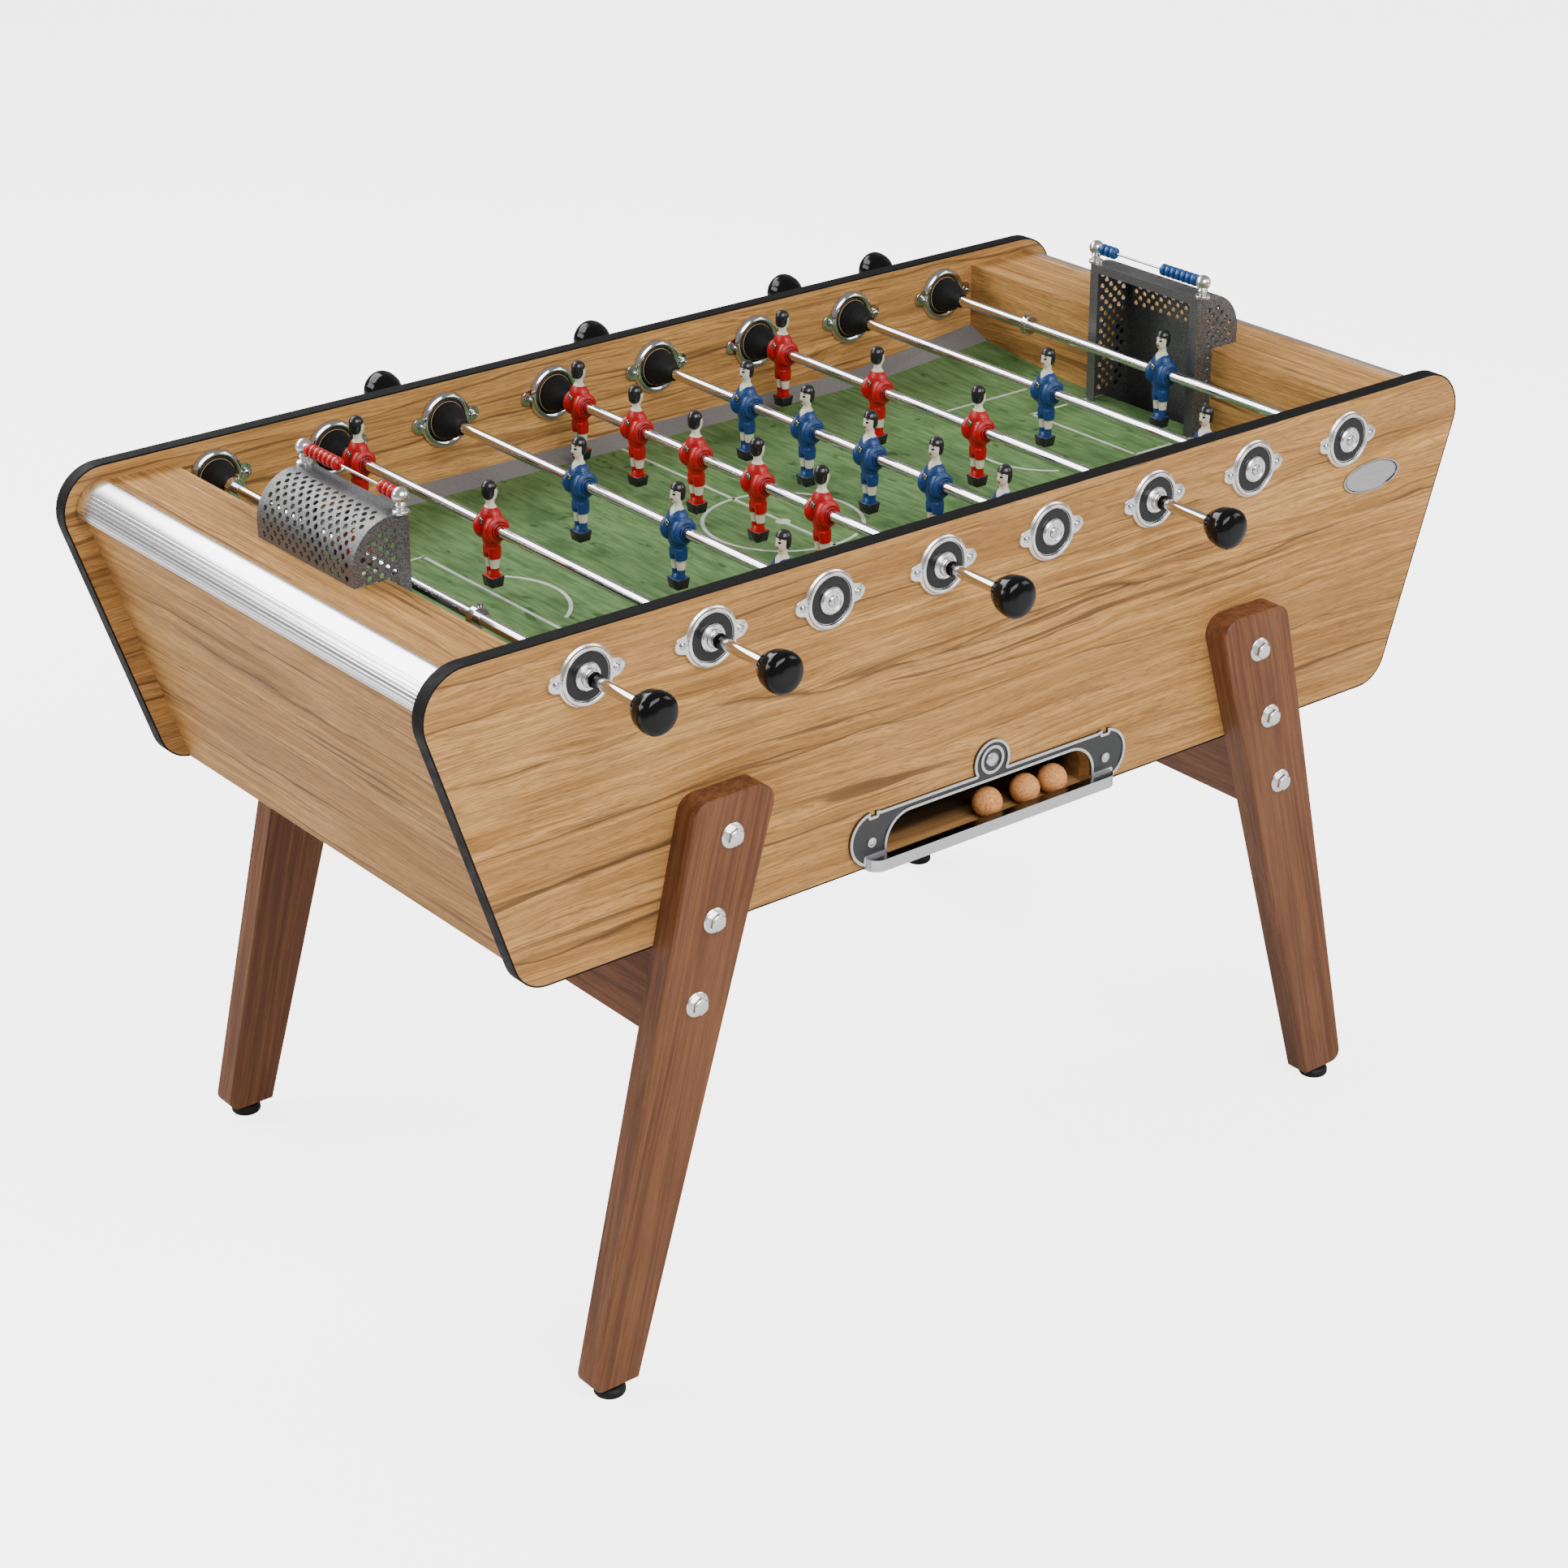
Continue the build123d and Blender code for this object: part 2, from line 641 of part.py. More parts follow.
def stretcher():
    top, low = PANEL_BOTTOM, STRETCHER_LOW
    lean = 0.267
    shift = lean * (top - low)
    sketch = polygon([(432, low), (464, low), (464 - shift, top), (432 - shift, top)])
    board = wall(sketch, -PANEL_OUT, 2 * PANEL_OUT)
    x, z = LEG_BOLTS[2]
    for side in (-1, 1):
        board -= Pos(x, side * PANEL_OUT, z) * Rot(90, 0, 0) * Cylinder(BOLT_R + 0.1, 2 * 56)
    return board


def leg_bolt(index):
    """Bolt with washer and domed hex head; the upper two take a nut inside the panel."""
    x, z = LEG_BOLTS[index]
    y = LEG_T
    reach = -54 if index == 2 else -PANEL_T - 10
    bolt = turned([
        (0, reach), (BOLT_R, reach), (BOLT_R, y), (14.5, y), (14.5, y + 1.6), (13.6, y + 2.4),
        (0, y + 2.4),
    ])
    head = extrude(Plane.XZ * RegularPolygon(9.2, 6), amount=-6)
    dome = turned([(0, 0), (7.6, 0), (7.2, 2), (5.6, 4.2), (3, 5.4), (0, 5.8)])
    bolt += Pos(0, y + 2.4, 0) * head + Pos(0, y + 8.4, 0) * dome
    if index < 2:
        bolt += Pos(0, -PANEL_T, 0) * extrude(Plane.XZ * RegularPolygon(8, 6), amount=6)
    return Pos(x, -PANEL_OUT, z) * Rot(0, 0, 180) * bolt


def main():
    os.makedirs("parts", exist_ok=True)
    save("side_panel_front", [side_panel(True)])
    save("side_panel_rear", [side_panel(False)])
    save("edge_bands", edge_bands())
    save("end_panels", [end_panel(-1), end_panel(1)])
    save("end_decks", end_deck(-1) + end_deck(1))
    save("end_trims", [end_trim(-1), end_trim(1)])
    save("bottom_panels", bottom_panels())
    save("ball_return", ball_return())
    field = box(-END_WALL_X, END_WALL_X, -PANEL_IN, PANEL_IN, FIELD_TOP - FIELD_T, FIELD_TOP)
    save("playfield", [field])
    save("field_ramps", field_ramps())
    save("bearing_plates", bearing_plates())
    flanges = []
    bolts = []
    for number in range(1, BAR_COUNT + 1):
        for side in (-1, 1):
            flanges.append(on_side(inner_flange(), bar_x(number), side))
            for ear in (-EAR_X, EAR_X):
                bolts.append(on_side(bearing_bolt(), bar_x(number) + ear, side))
    save("inner_flanges", flanges)
    save("bearing_bolts", bolts)
    save("rod_bushes", rod_bushes())
    save("goal_cages", goal_cage(-1) + goal_cage(1))
    save("finials_and_wires", finials_and_wires())
    save("beads_home", beads(-1, 1, 7) + beads(1, -1, 7))
    save("beads_red_sliding", beads(-1, -1, 3))
    save("beads_blue_sliding", beads(1, 1, 3))
    save("tray_plate", tray_plate())
    save("tray_lip", [tray_lip()])
    save("balls", balls())
    save("nameplate", [nameplate()])
    front_right = leg()
    save("legs_front", [front_right, mirror(front_right, Plane.YZ)])
    rear_right = mirror(front_right, Plane.XZ)
    save("legs_rear", [rear_right, mirror(rear_right, Plane.YZ)])
    save("stretchers", [stretcher(), mirror(stretcher(), Plane.YZ)])
    save("leg_bolts", [piece for index in range(3) for piece in four(leg_bolt(index))])
    save("levelling_feet", four(levelling_foot()))
    figure = man()
    for number in range(1, BAR_COUNT + 1):
        facing = figure if number in RED_BARS else mirror(figure, Plane.YZ)
        men = [Pos(bar_x(number), y, BAR_Z) * facing for y in men_positions(number)]
        save(f"bar_{number}_core", [bar_core(number)])
        save(f"bar_{number}_tube", bar_tube(number))
        save(f"bar_{number}_men", men)
        save(f"bar_{number}_knob", [bar_knob(number)])


main()
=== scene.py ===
"""Foosball table: the looks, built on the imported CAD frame.

Metres in the frame, X along the table, Y across it, Z up.  Shapes are drawn in millimetres
and scaled by MM when they become meshes.  Every mesh keeps its vertices in the table's frame,
so object coordinates in the materials are the table's own.
"""

import json
import math
import random

import bmesh
import bpy
from mathutils import Matrix, Vector
from mathutils.bvhtree import BVHTree


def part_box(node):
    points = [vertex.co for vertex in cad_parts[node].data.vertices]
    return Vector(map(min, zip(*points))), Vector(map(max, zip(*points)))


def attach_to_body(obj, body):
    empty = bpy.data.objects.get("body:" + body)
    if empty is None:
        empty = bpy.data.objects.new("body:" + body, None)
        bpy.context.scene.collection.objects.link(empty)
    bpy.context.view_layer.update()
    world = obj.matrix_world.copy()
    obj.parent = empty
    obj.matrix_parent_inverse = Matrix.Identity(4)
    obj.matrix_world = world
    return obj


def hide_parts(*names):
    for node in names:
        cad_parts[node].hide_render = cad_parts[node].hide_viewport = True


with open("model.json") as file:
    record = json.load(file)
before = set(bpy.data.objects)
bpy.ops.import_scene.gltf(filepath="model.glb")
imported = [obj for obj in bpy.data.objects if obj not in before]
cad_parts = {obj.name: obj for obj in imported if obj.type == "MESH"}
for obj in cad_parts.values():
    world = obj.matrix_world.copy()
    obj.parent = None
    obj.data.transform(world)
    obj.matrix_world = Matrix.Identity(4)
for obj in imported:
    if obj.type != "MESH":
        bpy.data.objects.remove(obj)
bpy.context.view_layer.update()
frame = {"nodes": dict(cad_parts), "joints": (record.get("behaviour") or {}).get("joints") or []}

MM = 0.001
BARS = range(1, 9)
spins = {j["name"]: j for j in frame["joints"]}
BAR_X = {n: spins[f"bar_{n}_spin"]["pos_m"][0] / MM for n in BARS}
BAR_Z = spins["bar_1_spin"]["pos_m"][2] / MM
HANDLE = {n: round(spins[f"bar_{n}_slide"]["axis"][1]) for n in BARS}   # -1: the tray side
MEN = {1: 1, 2: 2, 3: 3, 4: 5, 5: 5, 6: 3, 7: 2, 8: 1}

# The cabinet's measures, in millimetres
PANEL_OUT, PANEL_IN = 368.0, 350.0      # the side panels' faces
FIELD_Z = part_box("playfield")[1].z / MM
FIELD_HALF_W = 316.0                    # the green part of the field
END_WALL_X = 598.0
DECK_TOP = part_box("end_decks")[1].z / MM
DECK_OUT_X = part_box("end_decks")[1].x / MM
TRAY_PLATE_FACE = 371.2                 # the tray plate's recessed face
EAR_X = 37.2                            # from a bearing's axis to its screws

# Legs
LEG_T = 32.0
LEG_LEAN = 0.267
LEG_BOLTS = ((387.7, 631.9), (412.4, 540.3), (436.8, 448.8))      # x and z, from the top down
FOOT_X, FOOT_Y = 551.0, 384.0

# Goals and scoring beads
GOAL_FRONT, GOAL_BACK = 570.0, 640.0
GOAL_HALF_W = 95.0
GOAL_TOP, GOAL_LOW = 943.0, 742.0
POST_W, LINTEL_H = 14.0, 10.0
HOOD_R = 50.0
SHEET = 2.0
HOLE_STEP = 7.42                        # between rows; every second row is shifted by it
HOLE_R = 3.3
FINIAL_X, FINIAL_Y, FINIAL_R = 578.0, 94.0, 9.3
WIRE_Z, WIRE_R = 962.0, 1.6
BEAD_PITCH, BEAD_R = 8.8, 7.5

# Figures, about the bar's axis
FIGURE_HALF_W = 16.0
COLLAR_Z, SHORTS_Z, SOCK_Z, BOOT_Z = 24.0, -35.2, -46.5, -56.6
NECKLINE_Z = 17.6
SCREW_Y, SCREW_Z = 3.5, 9.0
KIT, CREAM, INK, STUD, MOUTH = range(5)      # a figure's material numbers

# What a camera sees of the floor and backdrop, over their lit level
FLOOR_GLOW = 3.8


# ---- camera and light


def add_camera(place, forward, roll, lens):
    data = bpy.data.cameras.new("camera")
    data.lens = lens
    data.sensor_width = 36.0
    data.clip_end = 400.0
    camera = bpy.data.objects.new("camera", data)
    forward = Vector(forward).normalized()
    level = forward.cross(Vector((0, 0, 1))).normalized()
    right = math.cos(roll) * level + math.sin(roll) * level.cross(forward)
    turn = Matrix((right, right.cross(forward), -forward)).transposed()
    camera.matrix_world = Matrix.Translation(place) @ turn.to_4x4()
    bpy.context.scene.collection.objects.link(camera)
    bpy.context.scene.camera = camera


def add_light(name, place, target, size, power):
    """A softbox of the given width and height, turned towards its target."""
    data = bpy.data.lights.new(name, "AREA")
    data.shape = "RECTANGLE"
    data.size, data.size_y = size
    data.energy = power
    light = bpy.data.objects.new(name, data)
    light.location = place
    light.rotation_mode = "QUATERNION"
    light.rotation_quaternion = (Vector(place) - Vector(target)).to_track_quat("Z", "Y")
    bpy.context.scene.collection.objects.link(light)


def add_world(strength):
    """Even white light, with a backdrop as pale as the floor behind it."""
    world = bpy.data.worlds.new("studio")
    bpy.context.scene.world = world
    world.use_nodes = True
    background = world.node_tree.nodes["Background"]
    background.inputs["Color"].default_value = (1, 1, 1, 1)
    seen = world.node_tree.nodes.new("ShaderNodeLightPath").outputs["Is Camera Ray"]
    level = world.node_tree.nodes.new("ShaderNodeMath")
    level.operation = "MULTIPLY_ADD"
    world.node_tree.links.new(seen, level.inputs[0])
    level.inputs[1].default_value = FLOOR_GLOW
    level.inputs[2].default_value = strength
    world.node_tree.links.new(level.outputs[0], background.inputs["Strength"])


add_camera((-2.3704, -2.9690, 2.2356), (0.5634, 0.7055, -0.4300), math.radians(-0.12), 80.19)
add_world(0.34)
add_light("key", (-0.5, -3.2, 3.1), (0.1, 0, 0.6), (3.0, 2.0), 165)
add_light("left", (-3.7, 2.6, 2.5), (-0.6, 0, 0.8), (2.0, 1.6), 80)
add_light("right", (3.1, -2.7, 2.3), (0.5, 0, 0.7), (2.0, 2.0), 50)
add_light("rear", (-1.0, 3.3, 3.8), (-0.2, 0, 0.85), (4.0, 1.9), 215)


# ---- materials


class Graph:
    """One material, with short calls that add its nodes."""

    def __init__(self, name, **sockets):
        self.material = bpy.data.materials.new(name)
        self.material.use_nodes = True
        self.tree = self.material.node_tree
        self.shader = self.tree.nodes["Principled BSDF"]
        for socket, value in sockets.items():
            self.set(socket, value)
        place = self.tree.nodes.new("ShaderNodeTexCoord")
        self.place = place.outputs["Object"]

    def put(self, socket, value):
        if isinstance(value, bpy.types.NodeSocket):
            self.tree.links.new(value, socket)
        elif socket.type == "RGBA":
            socket.default_value = (*value, 1.0)
        else:
            socket.default_value = value

    def set(self, socket, value):
        self.put(self.shader.inputs[socket.replace("_", " ")], value)

    def add(self, kind, *inputs, **settings):
        node = self.tree.nodes.new("ShaderNode" + kind)
        for key, value in settings.items():
            setattr(node, key, value)
        for socket, value in zip(node.inputs, inputs):
            if value is not None:
                self.put(socket, value)
        return node

    def math(self, operation, *inputs):
        return self.add("Math", *inputs, operation=operation).outputs[0]

    def range(self, value, low, high, to_low=0.0, to_high=1.0):
        return self.add("MapRange", value, low, high, to_low, to_high).outputs[0]

    def spread(self, value, to_low=0.0, to_high=1.0):
        """The usual spread of a noise, stretched between two values."""
        return self.range(value, 0.3, 0.7, to_low, to_high)

    def mix(self, factor, a, b):
        node = self.add("Mix", data_type="RGBA")
        self.put(node.inputs[0], factor)
        self.put(node.inputs[6], a)
        self.put(node.inputs[7], b)
        return node.outputs[2]

    def layered(self, colour, *layers):
        """Colours laid over one another, each as (pattern, its low and high, share, colour)."""
        for pattern, low, high, share, over in layers:
            colour = self.mix(self.range(pattern, low, high, 0.0, share), colour, over)
        return colour

    def scaled(self, vector, factors):
        return self.add("VectorMath", vector, factors, operation="MULTIPLY").outputs[0]

    def split(self, vector):
        return self.add("SeparateXYZ", vector).outputs

    def joined(self, x, y, z):
        return self.add("CombineXYZ", x, y, z).outputs[0]

    def noise(self, vector, factors, detail=3.0, roughness=0.55):
        node = self.add("TexNoise", self.scaled(vector, factors))
        node.inputs["Scale"].default_value = 1.0
        node.inputs["Detail"].default_value = detail
        node.inputs["Roughness"].default_value = roughness
        return node.outputs[0]

    def bump(self, height, strength, distance):
        node = self.add("Bump")
        node.inputs["Strength"].default_value = strength
        node.inputs["Distance"].default_value = distance
        self.put(node.inputs["Height"], height)
        self.set("Normal", node.outputs[0])


def all_ways(value):
    return (value, value, value)


def plain(name, colour, rough, spread=0.06, grain=90.0, bump=0.0, **sockets):
    """Paint, plastic, rubber or metal with slight mottling of its colour and gloss."""
    g = Graph(name, **sockets)
    mottle = g.noise(g.place, all_ways(grain), 4.0)
    dark = tuple(c * (1 - 2 * spread) for c in colour)
    light = tuple(min(1.0, c * (1 + spread)) for c in colour)
    g.set("Base_Color", g.mix(g.spread(mottle), dark, light))
    g.set("Roughness", g.spread(mottle, rough * 0.85, rough * 1.2))
    if bump:
        g.bump(g.noise(g.place, all_ways(grain * 6), 2.0), bump, 0.0004)
    return g.material


def grain_space(g, kind):
    """Along the grain, across it, and through the board, as three sockets."""
    x, y, z = g.split(g.place)
    if kind == "x":
        return x, z, y
    if kind == "y":
        return y, g.math("ADD", g.math("ABSOLUTE", x), z), x
    lean = g.math("MULTIPLY_ADD", z, LEG_LEAN, g.math("ABSOLUTE", x))
    return z, lean, y


def oak(name, kind, board=0.066):
    """Oak laminate in narrow boards, each with its own tone, grain, seams and dark streaks."""
    g = Graph(name, Specular_IOR_Level=0.15)
    along, across, through = grain_space(g, kind)
    space = g.joined(along, across, through)
    wander = g.noise(space, (2.1, 6.0, 6.0), 3.0)
    wavy = g.math("MULTIPLY_ADD", wander, 0.080, across)
    uneven = g.math("SINE", g.math("MULTIPLY", across, 29.0))
    wavy = g.math("MULTIPLY_ADD", uneven, 0.012, wavy)
    count = g.math("DIVIDE", wavy, board)
    number = g.math("FLOOR", count)
    seam = g.math("FRACT", count)
    random_of = g.add("TexWhiteNoise", None, number, noise_dimensions="1D")
    tone = random_of.outputs[0]
    shift = g.scaled(random_of.outputs[1], (3.0, 3.0, 3.0))
    own = g.add("VectorMath", space, shift, operation="ADD").outputs[0]

    bend = g.noise(own, (2.4, 14.0, 14.0), 3.0)
    o_along, o_across, o_through = g.split(own)
    bent = g.joined(o_along, g.math("MULTIPLY_ADD", bend, 0.045, o_across), o_through)
    figure = g.noise(bent, (2.2, 104.0, 104.0), 5.0, 0.64)
    ring = g.math("SINE", g.math("MULTIPLY", g.split(bent)[1], 640.0))
    fibres = g.noise(bent, (17.0, 420.0, 420.0), 4.0, 0.65)
    pores = g.noise(bent, (60.0, 1100.0, 1100.0), 1.0)
    streak = g.noise(bent, (2.6, 150.0, 150.0), 3.0, 0.5)
    lines = g.noise(bent, (5.0, 560.0, 560.0), 2.0, 0.5)
    patch = g.noise(own, (2.4, 10.0, 10.0), 2.0)

    colour = g.mix(g.range(figure, 0.37, 0.63), (0.360, 0.174, 0.050), (0.720, 0.382, 0.120))
    ring_share = g.math("MULTIPLY", g.range(tone, 0.35, 0.95), g.range(ring, 0.0, 1.0, 0.0, 0.40))
    colour = g.layered(
        g.mix(ring_share, colour, (0.300, 0.135, 0.038)),
        (patch, 0.48, 0.62, 0.60, (0.680, 0.375, 0.132)),
        (tone, 0.2, 1.0, 0.58, (0.370, 0.184, 0.062)),
        (fibres, 0.47, 0.60, 0.50, (0.270, 0.128, 0.038)),
        (lines, 0.52, 0.60, 0.42, (0.215, 0.100, 0.030)),
        (pores, 0.56, 0.68, 0.55, (0.180, 0.082, 0.026)),
    )
    gather = g.range(g.noise(own, (1.6, 8.0, 8.0), 2.0), 0.46, 0.58)
    streaks = g.math("MULTIPLY", gather, g.range(streak, 0.58, 0.65, 0.0, 0.85))
    colour = g.mix(streaks, colour, (0.125, 0.062, 0.023))
    edge = g.math("ABSOLUTE", g.math("SUBTRACT", seam, 0.5))
    strong = g.range(g.noise(own, (4.2, 1.0, 1.0), 3.0), 0.44, 0.58, 0.10, 1.0)
    reach = g.math("SUBTRACT", 0.494, g.math("MULTIPLY", strong, 0.050))
    line = g.math("MULTIPLY", g.range(edge, reach, 0.500), strong)
    colour = g.mix(g.math("MULTIPLY", line, 0.92), colour, (0.095, 0.046, 0.018))
    g.set("Base_Color", colour)
    g.set("Roughness", g.spread(fibres, 0.46, 0.60))
    g.bump(g.math("ADD", fibres, g.math("MULTIPLY", pores, -0.8)), 0.08, 0.0003)
    return g.material


def mahogany(name, kind):
    """Red-brown stained wood with soft streaks and short dark pores."""
    g = Graph(name, Specular_IOR_Level=0.22)
    along, across, through = grain_space(g, kind)
    space = g.joined(along, across, through)
    bend = g.noise(space, (2.0, 12.0, 12.0), 2.0)
    bent = g.joined(along, g.math("MULTIPLY_ADD", bend, 0.020, across), through)
    figure = g.noise(bent, (2.6, 130.0, 130.0), 4.0, 0.6)
    fibres = g.noise(bent, (14.0, 700.0, 700.0), 3.0, 0.6)
    pores = g.noise(bent, (60.0, 1500.0, 1500.0), 1.0)
    patch = g.noise(space, (3.0, 10.0, 10.0), 2.0)
    g.set("Base_Color", g.layered(
        (0.120, 0.045, 0.019),
        (figure, 0.41, 0.60, 1.0, (0.205, 0.083, 0.035)),
        (patch, 0.46, 0.64, 0.5, (0.235, 0.106, 0.048)),
        (fibres, 0.47, 0.62, 0.5, (0.090, 0.033, 0.017)),
        (pores, 0.62, 0.74, 0.5, (0.075, 0.026, 0.015)),
    ))
    g.set("Roughness", g.spread(fibres, 0.42, 0.55))
    g.bump(g.math("ADD", fibres, g.math("MULTIPLY", pores, -0.8)), 0.12, 0.0003)
    return g.material


def chrome():
    """Bright plating with faint wiping marks."""
    g = Graph("chrome", Metallic=1.0, Base_Color=(0.62, 0.62, 0.63))
    marks = g.noise(g.place, (220.0, 22.0, 220.0), 4.0)
    g.set("Roughness", g.range(marks, 0.35, 0.75, 0.0765, 0.117))
    return g.material


def satin_metal(name, colour, rough, stretch, bump=0.015, uneven=0.25):
    """Brushed or cast metal; stretch gives the marks' direction, uneven how much they dull it."""
    g = Graph(name, Metallic=1.0)
    marks = g.noise(g.place, stretch, 4.0, 0.6)
    g.set("Base_Color", g.mix(g.spread(marks), tuple(c * 0.94 for c in colour), colour))
    g.set("Roughness", g.spread(marks, rough * (1 - uneven), rough * (1 + uneven)))
    g.bump(marks, bump, 0.0002)
    return g.material


def field_paint(name, edge):
    """Green print, brushed and blotched; with edge, what lies beyond it sideways is grey."""
    g = Graph(name, Specular_IOR_Level=0.18)
    x, y, z = g.split(g.place)
    wander = g.noise(g.place, (5.0, 5.0, 5.0), 2.0)
    turned = g.joined(x, g.math("MULTIPLY_ADD", wander, 0.10, y), z)
    brushed = g.noise(turned, (160.0, 17.0, 30.0), 5.0, 0.62)
    blotch = g.noise(turned, (24.0, 11.0, 20.0), 4.0, 0.55)
    speck = g.noise(g.place, all_ways(420.0), 2.0)
    fleck = g.noise(turned, (60.0, 34.0, 40.0), 2.0)
    colour = g.mix(g.range(brushed, 0.36, 0.64), (0.068, 0.140, 0.044), (0.150, 0.262, 0.096))
    colour = g.mix(g.range(blotch, 0.54, 0.66, 0.0, 0.60), colour, (0.040, 0.104, 0.024))
    colour = g.layered(
        g.mix(g.range(blotch, 0.20, 0.40, 0.40, 0.0), colour, (0.175, 0.270, 0.115)),
        (fleck, 0.66, 0.72, 0.75, (0.022, 0.070, 0.012)),
        (speck, 0.62, 0.72, 0.30, (0.200, 0.300, 0.150)),
    )
    if edge:
        blur = 0.2
        side = g.math("ABSOLUTE", y)
        side = g.range(side, (FIELD_HALF_W - blur) * MM, (FIELD_HALF_W + blur) * MM)
        grey = g.mix(g.spread(speck), (0.175, 0.172, 0.172), (0.215, 0.212, 0.212))
        colour = g.mix(side, colour, grey)
    g.set("Base_Color", colour)
    g.set("Roughness", g.spread(brushed, 0.52, 0.66))
    g.bump(brushed, 0.03, 0.0003)
    return g.material


def tray_plate_paint():
    """Dark paint in the plate's recesses, bare bright metal on all that stands out of them."""
    g = Graph("tray_plate_paint")
    face = -TRAY_PLATE_FACE * MM
    raised = g.range(g.split(g.place)[1], face + 0.0001, face - 0.0001)
    marks = g.noise(g.place, all_ways(180.0), 3.0)
    bright = g.mix(g.spread(marks), (0.704, 0.704, 0.7128), (0.80, 0.80, 0.81))
    dull = g.mix(g.spread(marks), (0.024, 0.0248, 0.0264), (0.030, 0.031, 0.033))
    g.set("Base_Color", g.mix(raised, dull, bright))
    g.set("Metallic", raised)
    g.set("Roughness", g.math("MULTIPLY_ADD", marks, 0.10, 0.30))
    return g.material


def return_board():
    """Timber of the ball run: raw oak at its mouth, darkened further in by painted shade."""
    g = Graph("return_board", Specular_IOR_Level=0.12)
    figure = g.noise(g.place, (3.0, 70.0, 70.0), 4.0, 0.6)
    pale = g.mix(g.range(figure, 0.4, 0.6), (0.260, 0.130, 0.042), (0.420, 0.225, 0.080))
    # painted shade: a dark brown that stands in for the shade deep inside the ball run
    painted_shade = g.mix(g.range(figure, 0.4, 0.6), (0.022, 0.012, 0.006), (0.050, 0.028, 0.013))
    # painted shade: the colour goes from raw oak at the mouth to the dark brown further in along Y
    g.set("Base_Color", g.mix(g.range(g.split(g.place)[1], -0.347, -0.316), pale, painted_shade))
    g.set("Roughness", g.spread(figure, 0.55, 0.70))
    return g.material


def lip_metal():
    """Cast lip: satin on its faces, with painted shade making the up-facing ledge that the balls roll
    onto dark.
    """
    g = Graph("lip_metal", Metallic=1.0)
    marks = g.noise(g.place, all_ways(160.0), 4.0, 0.6)
    up = g.split(g.add("NewGeometry").outputs["Normal"])[2]
    # painted shade: faces that turn upward, the ledge, are picked out by their normal
    ledge_shade = g.range(up, 0.80, 0.95)
    satin = g.mix(g.spread(marks), (0.640, 0.640, 0.645), (0.700, 0.700, 0.705))
    # painted shade: the up-facing ledge gets a dark grey in place of the satin metal's colour
    g.set("Base_Color", g.mix(ledge_shade, satin, (0.105, 0.105, 0.110)))
    g.set("Roughness", g.spread(marks, 0.25, 0.36))
    return g.material


def cork():
    """Pressed grains of cork, some of them dark."""
    g = Graph("cork", Specular_IOR_Level=0.25)
    cells = g.add("TexVoronoi", g.place)
    cells.inputs["Scale"].default_value = 520.0
    grains = g.split(cells.outputs["Color"])[0]
    mottle = g.noise(g.place, all_ways(300.0), 3.0)
    colour = g.mix(g.range(grains, 0.0, 1.0), (0.560, 0.210, 0.060), (0.800, 0.390, 0.140))
    colour = g.mix(g.range(mottle, 0.60, 0.72, 0.0, 0.6), colour, (0.330, 0.145, 0.055))
    g.set("Base_Color", colour)
    g.set("Roughness", g.spread(mottle, 0.6, 0.8))
    g.bump(cells.outputs["Distance"], 0.25, 0.0005)
    return g.material


def nameplate_metal():
    """Brushed oval plate with a dark line inside its rim."""
    g = Graph("nameplate_metal", Metallic=1.0)
    low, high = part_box("nameplate")
    x, _, z = g.split(g.place)
    across = g.math("DIVIDE", g.math("SUBTRACT", x, (low.x + high.x) / 2), (high.x - low.x) / 2)
    upward = g.math("DIVIDE", g.math("SUBTRACT", z, (low.z + high.z) / 2), (high.z - low.z) / 2)
    reach = g.math("ADD", g.math("POWER", across, 2.0), g.math("POWER", upward, 2.0))
    dark = g.math("COMPARE", reach, 0.84, 0.035)
    marks = g.noise(g.place, (30.0, 600.0, 900.0), 3.0)
    metal = g.mix(g.spread(marks), (0.42, 0.42, 0.43), (0.60, 0.60, 0.61))
    g.set("Base_Color", g.mix(dark, metal, (0.03, 0.03, 0.03)))
    g.set("Roughness", g.spread(marks, 0.26, 0.40))
    return g.material


def hammered():
    """Grey metallic paint with a fine hammered skin."""
    g = Graph("hammered_grey", Metallic=0.75)
    dimples = g.noise(g.place, all_ways(900.0), 2.0)
    soft = g.noise(g.place, all_ways(260.0), 3.0)
    skin = g.mix(g.range(dimples, 0.38, 0.62), (0.075, 0.076, 0.078), (0.225, 0.227, 0.232))
    g.set("Base_Color", skin)
    g.set("Roughness", g.spread(soft, 0.36, 0.50))
    g.bump(dimples, 0.35, 0.0006)
    return g.material


OAK_X = oak("oak_along_x", "x")
OAK_Y = oak("oak_along_y", "y")
BOARD = oak("plain_board", "y", board=0.5)
MAHOGANY_LEG = mahogany("mahogany_leg", "leg")
MAHOGANY_CROSS = mahogany("mahogany_cross", "y")
CHROME = chrome()
BAND = plain("edge_band", (0.0065, 0.006, 0.006), 0.55, 0.08, 60.0, 0.05, Specular_IOR_Level=0.12)
RUBBER = plain("black_rubber", (0.009, 0.009, 0.0095), 0.58, 0.10, 120.0, 0.10, Specular_IOR_Level=0.25)
BLACK = plain("black_gloss", (0.003, 0.003, 0.0033), 0.09, 0.05, 40.0, Specular_IOR_Level=0.24)
ENAMEL = plain("black_enamel", (0.013, 0.013, 0.0135), 0.24, 0.06, 60.0, Specular_IOR_Level=0.30)
CAST = satin_metal("cast_aluminium", (0.90, 0.90, 0.905), 0.24, (60.0, 60.0, 60.0), 0.0, 0.08)
BOLT = satin_metal("bolt_steel", (0.86, 0.86, 0.865), 0.26, (80.0, 80.0, 80.0), 0.0, 0.08)
